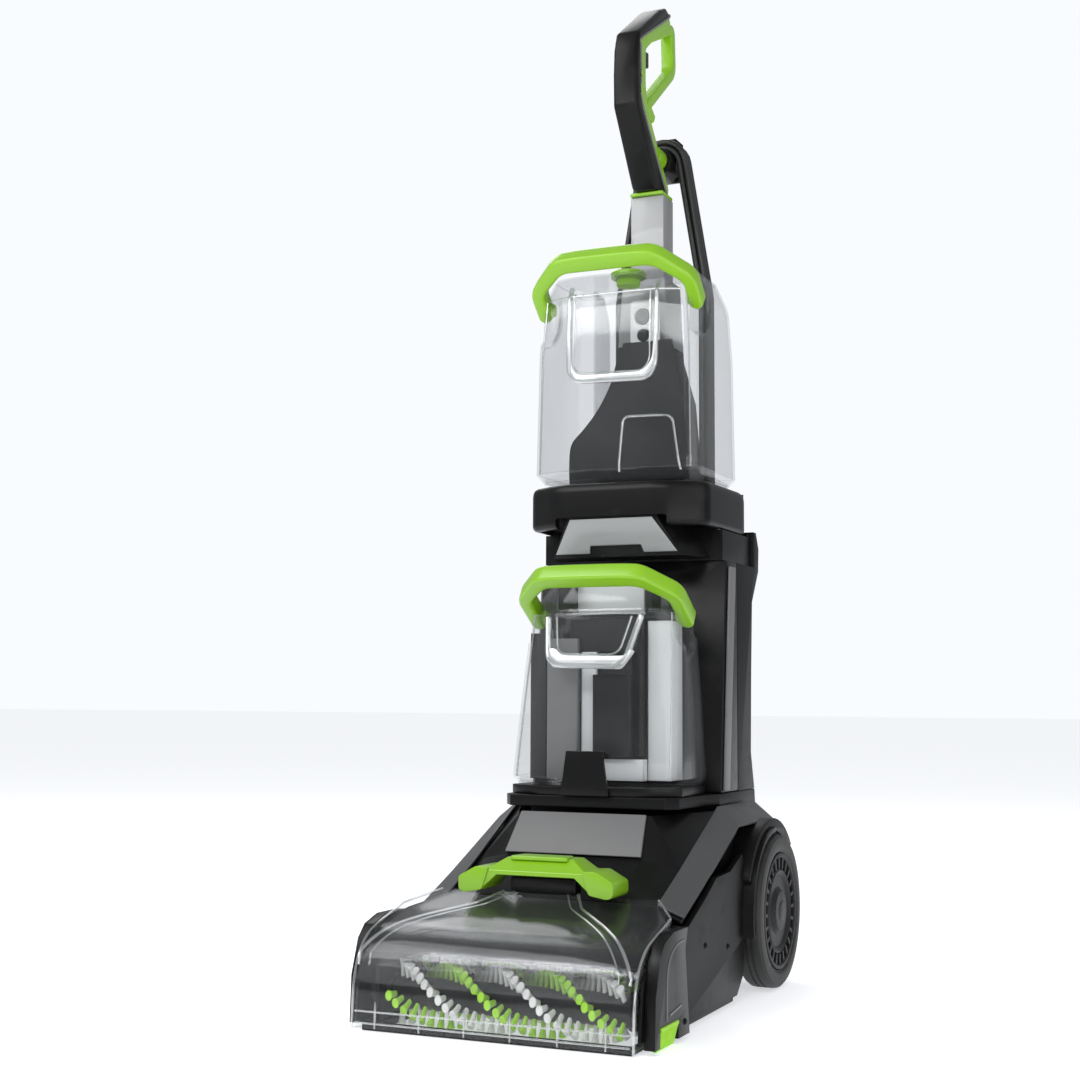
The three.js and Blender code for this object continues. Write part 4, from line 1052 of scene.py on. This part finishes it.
def hood_point(y, lift, x):
    """A point over the hood at depth y, lifted off its surface."""
    for i in range(len(HOOD_LINE) - 1):
        a, b = HOOD_LINE[i], HOOD_LINE[i + 1]
        if a.y <= y <= b.y:
            u = (y - a.y) / max(b.y - a.y, 1e-6)
            point = a.lerp(b, u) + hood_normal(i).lerp(hood_normal(i + 1), u) * lift
            return (x, point.y, point.z)
    return (x, HOOD_LINE[0].y, HOOD_LINE[0].z)


def fan_half(y):
    """Half the raised channel's width, fanning out from the neck to the mouth."""
    spots = (MOUTH, FAN, NECK)
    for a, b in zip(spots, spots[1:]):
        if a["y"] <= y <= b["y"]:
            return a["half"] + (b["half"] - a["half"]) * (y - a["y"]) / (b["y"] - a["y"])
    return MOUTH["half"] if y < MOUTH["y"] else NECK["half"]


def channel_skin():
    """The raised channel: a crowned clear skin whose sides drop to the hood in two steps."""
    shares = [-1, -0.985, -0.95, -0.9, -0.6, -0.3, 0, 0.3, 0.6, 0.9, 0.95, 0.985, 1]
    lifts = {1: 0.2, 0.985: 4.2, 0.95: 7.4, 0.9: 8.0}
    rows = []
    for point in HOOD_LINE:
        if not -243.5 < point.y < -127:
            continue
        fade = eased((point.z - 46) / 16)
        half = fan_half(point.y)
        row = []
        for u in shares:
            lift = 0.2 + (lifts.get(abs(u), 8.4) - 0.2) * fade
            row.append(hood_point(point.y, lift, u * half))
        rows.append(row)
    skin = worked(loft(rows, caps=False, ring_closed=False), wall(1.6))
    piece("channel_skin", skin, HOOD_CLEAR, "nozzle", ("suction_channel",))


def channel_ribs():
    """Bright moulded ribs along both edges of the channel, doubled as on the real moulding."""
    ribs = []
    ys = [-129 - 2.3 * i for i in range(49)]
    for inset, radius in ((0, 1.5), (11, 0.9)):
        line = [hood_point(y, 7.6 if y > -236 else 3.5, fan_half(y) - inset) for y in ys]
        bar = swept(line, disc(radius, 8))
        ribs += [bar, mirrored(bar)]
    piece("channel_edges", joined(*ribs), EDGE_CLEAR, "nozzle")


def lip_ridges():
    """Two ridges along the nozzle's lip, short dividing ribs between them and a rim down each end."""
    bars = [swept([(x, -246.2, z) for x in (-134, -60, 0, 60, 134)], disc(1.0, 8)) for z in (8.5, 19)]
    rib = slab(cornered([(-246.9, 4), (-245, 4), (-245, 28), (-246.6, 28)], 0.5, 2), "X", -0.7, 0.7)
    bars.append(shifted(copies(rib, 6, EDGE_CLEAR, length=225, turns=0), -113))
    for _, s in SIDES:
        rim = [(s * (hood_half(p.y) - 1.2), p.y - 0.2, p.z) for p in HOOD_LINE]
        bars.append(swept(rim, disc(1.2, 8)))
    piece("nozzle_lip", joined(*bars), EDGE_CLEAR, "nozzle")


def end_walls():
    """The clear walls at the ends of the nozzle, beside the cheeks."""
    inner = [(p.y, p.z) for p in HOOD_LINE if p.y < -146]
    outline = [(y + 2.5 if y < -240 else y, z - 2.5) for y, z in inner] + [(-146, 6), (-243, 4)]
    for side, s in SIDES:
        mesh = slab(outline, "X", s * 134.6, s * 136.2)
        piece("nozzle_end_" + side, mesh, HOOD_CLEAR, "nozzle")


def latch():
    """The lime latch, with a raised pad and chamfered wings, and its black catch."""
    lever = worked(from_cad("nozzle_latch"), bevel(1.6, 3))
    pad = block([(-30, -138), (30, -138), (26, -112), (-26, -112)], "Z", 150, 153.8, 4, 1.1, 3)
    end = [(48, 142.5), (61, 143.4), (79.5, 133.4), (79.5, 121, 3), (74, 118, 3), (55, 121.4)]
    wing = block(end, "Y", -147.5, -107, 2.5, 2, 3, 3, 30)
    piece("latch_lever", joined(lever, pad, wing, mirrored(wing)), LIME, "latch", ("nozzle_latch",))
    piece("latch_catch", block(rect(-34, 34, 118, 133), "Y", -127, -112, 3, 1.5), BLACK, "nozzle")


hood_skin()
channel_skin()
channel_ribs()
lip_ridges()
end_walls()
latch()

# ---- Upright: lower housing, column and collar ----
BODY_SKINS = {
    "lower_housing": (GRAINED, 2.0),
    "spine_shell": (BLACK, 3.0),
    "rear_cover": (GRAINED, 2.2),
    "accent_strip_left": (PANEL_GREY, 1.0),
    "accent_strip_right": (PANEL_GREY, 1.0),
    "stem": (SILVER, 1.6),
    "grip_cover": (BLACK, 4.0),
    "lower_cord_hook": (BLACK, 1.2),
    "riser_duct": (CHARCOAL, 1.0),
    "water_pump": (CHARCOAL, 1.0),
    "suction_motor": (STEEL, 1.0),
}


def upright_shells():
    """The upright's covers and machinery, and the small moving pieces on it."""
    for node, (finish, width) in BODY_SKINS.items():
        softened(node, finish, "upright", width)
    softened("motor_fan", CHARCOAL, "fan", 0.6)
    softened("trigger", BLACK, "spray_trigger", 1.2)
    softened("power_button", CHARCOAL, "power_switch", 0.9)
    softened("upper_cord_hook", BLACK, "cord_hook", 1.4)


def collar_label():
    """The plain silver plate on the collar's nose, with a notch in its lower edge."""
    notch = slab([(-34, 440), (38, 440), (30, 467), (-28, 467)], "Y", 30, 80)
    softened("collar_label", SILVER, "upright", 0.9, (notch,))


COLLAR = {"bottom": 486, "top": 534, "label": 497}
COLLAR_PLAN = [(60, 42.2, 16), (86, 57.5, 14), (103, 68, 16), (106, 186, 10), (97, 212, 6)]
COLLAR_SPAN = {"half_width": 106, "middle": 128, "half_depth": 86}
# Heights above the brim's bottom, and how far in its outline is there.
BRIM = [(0, 4.2), (0.7, 2.4), (2.2, 0.9), (4.6, 0.1), (7, 0), (38, 0), (42.6, 0.6), (45.4, 2), (47.2, 4.2)]
BRIM += [(48, 7.4)]


def collar_plan(inset):
    """The collar's outline, drawn in by that much."""
    half_width, middle, half_depth = COLLAR_SPAN.values()
    across, along = 1 - inset / half_width, 1 - inset / half_depth
    shrunk = [(x * across, middle + (y - middle) * along, r) for x, y, r in COLLAR_PLAN]
    return cornered(both_sides(shrunk), 10, 6)


def collar():
    """The collar: a brim rounded above and below, over the nose that carries the label."""
    bottom, top = COLLAR["bottom"], COLLAR["top"]
    outside = slab(rect(-140, 140, 20, 204), "Z", bottom - 0.5, top + 2)
    ring = worked(outside, cut_by(slab(collar_plan(7), "Z", bottom - 9, top + 9)))
    nose = worked(from_cad("collar"), cut_by(ring), bevel(1.4, 3))
    brim = loft([[(x, y, bottom + rise) for x, y in collar_plan(inset)] for rise, inset in BRIM])
    gate = block([(-67, 20), (67, 20), (61, 66), (-61, 66)], "Z", bottom - 9, COLLAR["label"], 4, 3, 3)
    room = slab(collar_plan(8), "Z", bottom - 9, top - 4)
    rear = slab(rect(-140, 140, 203.5, 240), "Z", bottom - 9, top + 9)
    brim = worked(brim, cut_by(room), cut_by(gate), cut_by(rear))
    piece("collar_brim", joined(brim, nose), BLACK, "upright", ("collar",))


FRAME_SIDE = [(188, 884.6), (201, 886), (205, 900), (133, 976), (128, 1000), (128, 1041), (180, 1082)]
FRAME_SIDE += [(214, 1102), (206, 1113), (96, 1046), (96, 966)]
LOOP_PATH = [(146, 1062), (232, 1106.5, 9), (235.5, 1053, 12), (147, 982.5, 6), (165, 972)]


def open_corners(points):
    """An open path with its inner corners rounded by the radius that each holds."""
    steps = 6
    made = [points[0][:2]]
    for before, here, after in zip(points, points[1:], points[2:]):
        around = cornered([before, here, after], here[2], steps)
        made += around[steps + 1 : 2 * steps + 2]
    return [*made, points[-1][:2]]


def handle_frame():
    """The lime frame behind the grip with its closed loop, rounded at every bend."""
    spine = block(FRAME_SIDE, "X", -11, 11, 4, 2.2, 3, 4, 40)
    bar = cornered(rect(-6.2, 6.2, -7.6, 7.6), 3, 4)
    loop = swept([(0, y, z) for y, z in open_corners(LOOP_PATH)], bar, up=(1, 0, 0))
    socket = block(rect(-20, 20, 156, 193), "Z", 880.4, 884.3, 3, 1)
    web = worked(slab(rect(-11, 11, 186, 199), "Z", 880.4, 892), bevel(1.4, 2))
    boss = turned([(0, 168), (13, 168), (13, 192), (11.6, 195.5), (0, 195.5)], "Y", (0, 0, 932), 36)
    whole = joined(spine, loop, socket, web, boss)
    piece("handle_frame_loop", whole, LIME, "upright", ("handle_frame",))


def backbone():
    """The backbone behind the clean tank: charcoal below and silver above its shoulder."""
    shoulder = 702
    parts = (("foot", CHARCOAL, shoulder, 900, ("backbone",)), ("neck", SILVER, 400, shoulder, ()))
    for name, finish, low, high, nodes in parts:
        away = slab(rect(-140, 140, 100, 240), "Z", low, high)
        mesh = worked(from_cad("backbone"), bevel(2, 3), cut_by(away))
        piece("backbone_" + name, mesh, finish, "upright", nodes)


def rear_details():
    """Screws in the rear cover: five near its edges and one that holds its vents."""
    head = moved(screw_head(3.4), X_TO_Y)
    places = [(-92, 470), (92, 470), (-92, 330), (92, 262), (-92, 262), (0, 256)]
    screws = joined(*(shifted(head, x, 214.2, z) for x, z in places))
    piece("rear_screws", screws, STEEL, "upright")


def grip_seam():
    """A thin grey welt along both rear edges of the grip's cover."""
    edge = [(196.5, 1109), (192.5, 1102.6), (105, 1046.4), (102, 1036)]
    edge += [(103, 1000), (107, 970), (188, 888)]
    path = flowing([(0, y, z) for y, z in edge], 4)
    welts = [swept([(s * 13.9, p.y, p.z) for p in path], disc(1.5, 8)) for s in (-1, 1)]
    piece("grip_welt", joined(*welts), PANEL_GREY, "upright")


def tank_ports():
    """The pale plate in the clean tank's back with its two round valves."""
    piece("port_plate", block(rect(-8, 27, 699, 750), "Y", 126.6, 129.6, 6, 0.8), PALE, "clean_tank")
    valves = []
    for x, z, r in ((7, 731, 9.5), (8, 709.5, 7.5)):
        profile = [(0, 0), (r - 3, 0), (r - 2.4, 1), (r - 0.6, 1), (r, 1.6), (r, 3.6), (0, 3.6)]
        valves.append(turned(profile, "Y", (x, 124, z), 28))
    piece("port_valves", joined(*valves), BLACK, "clean_tank")


upright_shells()
handle_frame()
backbone()
rear_details()
collar()
collar_label()
grip_seam()
tank_ports()


# ---- Tanks ----
FLAT = {"share": 0.55, "bow": 0.8, "chamfer": 10, "step": 9}


def tank_plan(half, front, corner, rear, z):
    """A tank's outline at height z: a bowed front, chamfered front corners and a square back."""
    points = [
        (half * FLAT["share"], front + FLAT["bow"], 30),
        (half - FLAT["chamfer"], corner - FLAT["step"], 12),
        (half, corner, 12),
        (half, rear, 8),
    ]
    outline = cornered(both_sides(points), 10, 5)
    return [(x, y, z) for x, y in outline]


def tank_level(levels, z):
    """The tank's half width, front, corner and rear at height z, between its levels."""
    for (z0, *low), (z1, *high) in zip(levels, levels[1:]):
        if z0 <= z <= z1:
            u = (z - z0) / (z1 - z0)
            return [a + (b - a) * u for a, b in zip(low, high)]
    return list(levels[-1][1:])


# Levels of each tank: its height, half width, front, corner and rear there.
DIRTY = [(214, 90, -14, 12, 84), (222, 94.6, -21.6, 5, 86.6), (300, 91.8, -9.8, 19, 81.8)]
DIRTY += [(392, 86.8, 6.2, 34, 77.8)]
CLEAN = [(538, 90, 56, 74, 182), (548, 96.8, 46.2, 66, 187.8), (680, 94.8, 48.2, 68, 186.8)]
CLEAN += [(740, 90.8, 51.2, 71, 185.8), (768, 81.8, 66.2, 82, 167.8)]


def arm_rooms(hinge_y, hinge_z, radius, floor):
    """Round pockets for the handle's arms, as cutting tools."""
    profile = [(0, floor), (radius - 3, floor), (radius, floor + 3), (radius, 130), (0, 130)]
    tool = turned(profile, "X", (0, hinge_y, hinge_z), 40)
    return tool, mirrored(tool)


def dirty_shell():
    """The dirty tank's clear wall, open at its top."""
    heights = [214, 216, 219, 222, 240, 270, 300, 330, 360, 385, 392]
    rings = [tank_plan(*tank_level(DIRTY, z), z) for z in heights]
    tools = [cut_by(t) for t in arm_rooms(50, 390, 36, 82.4)]
    body = worked(loft(rings), *tools, bevel(1.2, 3, 30))
    shape = bmesh.new()
    shape.from_mesh(body)
    top = [f for f in shape.faces if f.normal.z > 0.95 and f.calc_center_median().z > 391.5 * MM]
    bmesh.ops.delete(shape, geom=top, context="FACES")
    shape.to_mesh(body)
    shape.free()
    shell = worked(body, wall(2.2))
    piece("dirty_tank_clear", shell, CLEAR, "dirty_tank", ("dirty_tank_shell",), crease=40)


def front_line(levels, corners, lift):
    """A line drawn on a tank's front: (x, z) corners, laid on its bowed face."""
    made = []
    for x, z in corners:
        half, front, corner, _ = tank_level(levels, z)
        flat = half * FLAT["share"]
        past = max(0, abs(x) - flat) / (half - FLAT["chamfer"] - flat)
        face = front + FLAT["bow"]
        made.append((x, face + past * (corner - FLAT["step"] - face) - lift, z))
    return made


def embossed(levels, corners, radius, lift=0.2, round_by=12):
    """A rounded ridge along a line of (x, z) corners on the tank's front."""
    path = []
    for i, corner in enumerate(corners):
        if 0 < i < len(corners) - 1:
            trio = cornered([corners[i - 1], corner, corners[i + 1]], round_by, 6)
            path += trio[7:14]
        else:
            path.append(corner)
    fine = []
    for a, b in zip(path, path[1:]):
        steps = max(1, int(math.dist(a, b) / 8))
        fine += [tuple(Vector(a).lerp(Vector(b), i / steps)) for i in range(steps)]
    fine.append(path[-1])
    return swept(front_line(levels, fine, lift), disc(radius, 10), up=(0, -1, 0.01))


def corner_edges(levels, radius):
    """A thin rounded edge up both front corners of a tank."""
    return [
        swept([(s * (half - 10), corner - 9.6, z) for z, half, _, corner, _ in levels], disc(radius, 8))
        for _, s in SIDES
    ]


def grip_band(levels, outline, z):
    """A thick band of plastic on the tank's front, leaning with it."""
    y, above = (tank_level(levels, height)[1] for height in (z, z + 20))
    rise = (above - y) / 20
    band = block(outline, "Y", y + 0.2, y + 2.6, 4, 0.9, 2, 4, 40)
    lean = Matrix(((1, 0, 0, 0), (0, 1, rise, -rise * z * MM), (0, 0, 1, 0), (0, 0, 0, 1)))
    return moved(band, lean)


# Boxes inside the dirty tank, each from and to in X, Y and Z.
INNER_WALLS = {
    "float_guard": (CHARCOAL, None, ((-82, -63, 22, 30, 219, 372), (-38, 42, 26, 40, 352, 386))),
    "inlet_wall": (PANEL_GREY, "charcoal_plastic", ((-62, -26, 20, 28, 219, 366),)),
    "pale_walls": (
        PALE,
        None,
        (
            (-25, -7, 26, 31, 219, 352),
            (0, 48, 16, 31, 219, 241),
            (47, 73, 32, 70, 219, 384),
            (-48, 36, 54, 58, 393, 428),
        ),
    ),
    "baffle_box": (BLACK, None, ((-5, 37, 8, 30, 244, 328), (39, 45, 22, 31, 244, 380))),
}


def dirty_details():
    """The step round the tank's grip recess, its base and what stands inside."""
    ridge = embossed(DIRTY, [(-56, 388), (-50, 338), (34, 336), (50, 388)], 3.4, 0.6, 16)
    inner = embossed(DIRTY, [(-44, 388), (-40, 349), (28, 348), (40, 388)], 1.2, 0.9, 12)
    edges = corner_edges(DIRTY[1:], 0.9)
    piece("dirty_tank_ridges", joined(ridge, inner, *edges), EDGE_CLEAR, "dirty_tank")
    outline = [(-53, 354), (-46, 335), (32, 333), (46, 352), (39, 354), (34, 347, 6), (-36, 348, 6)]
    band = grip_band(DIRTY, [*outline, (-44, 356)], 345)
    piece("dirty_grip_band", band, BAND_CLEAR, "dirty_tank")
    softened("dirty_tank_base", BLACK, "dirty_tank", 2.0)
    softened("separator", CHARCOAL, "dirty_tank", 2.4)
    softened("float", PALE, "shutoff_float", 2.0)
    for name, (finish, slot, boxes) in INNER_WALLS.items():
        shapes = [block(rect(*box[:4]), "Z", *box[4:], 2.5, 1.2, 2, 3) for box in boxes]
        piece(name, joined(*shapes), finish, "dirty_tank")


def dirty_top():
    """The tank's clear top, with dark posts at its ends."""
    levels = [(392.4, 80, 6.2, 34, 77.6), (408, 78, 14, 38, 77.6), (431.8, 58, 30, 44, 73.8)]
    rings = [tank_plan(*tank_level(levels, z), z) for z in (392.4, 400, 408, 420, 429, 431.8)]
    top = worked(loft(rings), wall(2.4), bevel(1.5, 2, 40))
    piece("dirty_tank_top", top, CLEAR, "dirty_tank", ("dirty_tank_lid",), crease=40)
    posts = [block(rect(a, b, 30, 60), "Z", 395, 427, 3, 1) for a, b in ((-40, -54), (46, 53))]
    piece("dirty_tank_posts", joined(*posts), CHARCOAL, "dirty_tank")


def clean_shell():
    """The clean tank's smoked wall, with the backbone's room in its back and the cap's mouth."""
    heights = [538, 540, 543, 548, 570, 610, 650, 680, 700, 720, 735, 745, 753, 760, 765, 768]
    rings = [tank_plan(*tank_level(CLEAN, z), z) for z in heights]
    tools = [cut_by(t) for t in arm_rooms(74, 734, 40, 86.2)]
    room = slab(cornered(rect(-55.6, 55.6, 134.4, 240), 8), "Z", 500, 800)
    body = worked(loft(rings), *tools, cut_by(room), bevel(1.6, 3, 30))
    mouth = turned([(0, 740), (14, 740), (14, 780), (0, 780)], "Z", (0, 100, 0), 32)
    shell = worked(body, wall(2.2), cut_by(mouth))
    piece("clean_tank_clear", shell, SMOKE, "clean_tank", ("clean_tank_shell",), crease=40)


def clean_details():
    """The ridge round the grip recess, the lower pocket's outline, corner edges and the cap."""
    recess = embossed(CLEAN, [(-50, 752), (-50, 646), (42, 644), (51, 660), (51, 752)], 2.6, 0.4, 16)
    inner = embossed(CLEAN, [(-44, 744), (-44, 655), (36, 653), (44, 664), (44, 744)], 0.9, 0.7, 12)
    shoulder = embossed(CLEAN, [(-78, 741), (-40, 742), (40, 742), (76, 741)], 1.1, 0.5)
    pocket = embossed(CLEAN, [(9, 545), (14, 604), (68, 603), (76, 545)], 1.4, 0.5, 8)
    edges = corner_edges(CLEAN[1:4], 1.0)
    piece("clean_tank_ridges", joined(recess, inner, shoulder, pocket, *edges), EDGE_CLEAR, "clean_tank")
    outline = [(-51, 694), (-50, 653), (-41, 643.5), (37, 643.5), (51, 659), (52, 694)]
    outline += [(48.5, 694), (46, 663, 8), (35, 652.5, 8), (-38, 652.5, 8), (-46.5, 661, 6), (-47.5, 694)]
    piece("clean_grip_band", grip_band(CLEAN, outline, 660), BAND_CLEAR, "clean_tank")
    knurls = [(19, 769), (19, 774.6), (17.6, 776), (6, 776), (5, 774.8), (0, 774.8)]
    cap = turned([(0, 768.5), (18.4, 768.5), *knurls], "Z", (0, 100, 0), 48)
    plug = turned([(0, 760), (12.6, 760), (13.3, 762), (13.3, 768.8), (0, 768.8)], "Z", (0, 100, 0), 32)
    rib = slab(rect(-0.7, 0.7, -0.5, 0.5), "X", 0, 5.4)
    ribs = shifted(moved(copies(rib, 32, LIME, radius=18.9), X_TO_Z), 0, 100, 769)
    bar = block(rect(-12, 12, 97.4, 102.6), "Z", 774.4, 776, 2.4, 0.5)
    piece("tank_cap_shape", joined(cap, plug, ribs, bar), LIME, "tank_cap", ("clean_tank_cap",))


def tank_backing():
    """The dark panel inside the clean tank, with its S-shaped left edge."""
    edge = [(-82, 545), (-82.5, 565), (-80, 590), (-66, 606), (-53, 621), (-40, 641), (-29, 664)]
    edge += [(-20, 690), (-17, 703)]
    left = [(p.x, p.y) for p in flowing([(x, z, 0) for x, z in edge], 4)]
    right = [(41, 703), (47, 672), (55, 625), (60, 571), (61, 545)]
    panel = worked(slab(left + right, "Y", 126.5, 130.5), bevel(0.9, 2, 40))
    piece("clean_tank_backing", panel, CHARCOAL, "clean_tank")


HANDLES = {
    "dirty": {"y": 50, "z": 390, "angle": 32, "reach": 74, "bar": 58, "half": 92},
    "clean": {"y": 74, "z": 734, "angle": 42, "reach": 60, "bar": 58, "half": 96},
}


def carry_handle(tank, y, z, angle, reach, bar, half):
    """A bowed arch in its own plane, then leant forward about its hinge."""
    low = half - 15
    points = [(bar * 0.5, reach + 9.6, 60), (bar, reach + 8, 11), (half, reach - 30, 12), (half, -7, 6)]
    points += [(half - 6, -12, 5), (low, -8, 4), (low, reach - 35, 9), (bar - 6, reach - 9.5, 10)]
    arch = block(both_sides(points), "Y", -9.4, 9.4, 8, 3.2, 3, 6, 40)
    root, face, tip = half - 14.8, half - 17, half - 18
    pin = [(0, root), (7.6, root), (7.6, face), (6.8, tip), (0, tip)]
    bosses = [turned([(radius, s * along) for radius, along in pin], "X", ORIGIN, 24) for _, s in SIDES]
    leant = moved(joined(arch, *bosses), Matrix.Rotation(math.radians(90 - angle), 4, "X"))
    handle = shifted(leant, 0, y, z)
    piece(tank + "_carry_handle", handle, LIME, tank + "_handle", (tank + "_tank_handle",))


dirty_shell()
dirty_details()
dirty_top()
clean_shell()
clean_details()
tank_backing()
for tank, sizes in HANDLES.items():
    carry_handle(tank, **sizes)


# ---- Floor ----
def floor():
    """A pale floor, wide enough to fill every view."""
    f = Finish("pale_floor")
    speck = f.noise(40, 3)
    surface = f.close(
        f.shader(
            Base_Color=f.blend(speck, (0.86, 0.86, 0.86, 1), (0.9, 0.9, 0.9, 1)),
            Roughness=0.7,
            Emission_Color=SKY["colour"],
            Emission_Strength=SKY["floor"],
        )
    )
    mesh = bpy.data.meshes.new("floor")
    far = 30
    mesh.from_pydata([(-far, -far, 0), (far, -far, 0), (far, far, 0), (-far, far, 0)], [], [(0, 1, 2, 3)])
    mesh.materials.append(surface)
    ground = bpy.data.objects.new("floor", mesh)
    ground.location.z = -0.0006
    SCENE.collection.objects.link(ground)


floor()

bpy.context.view_layer.update()
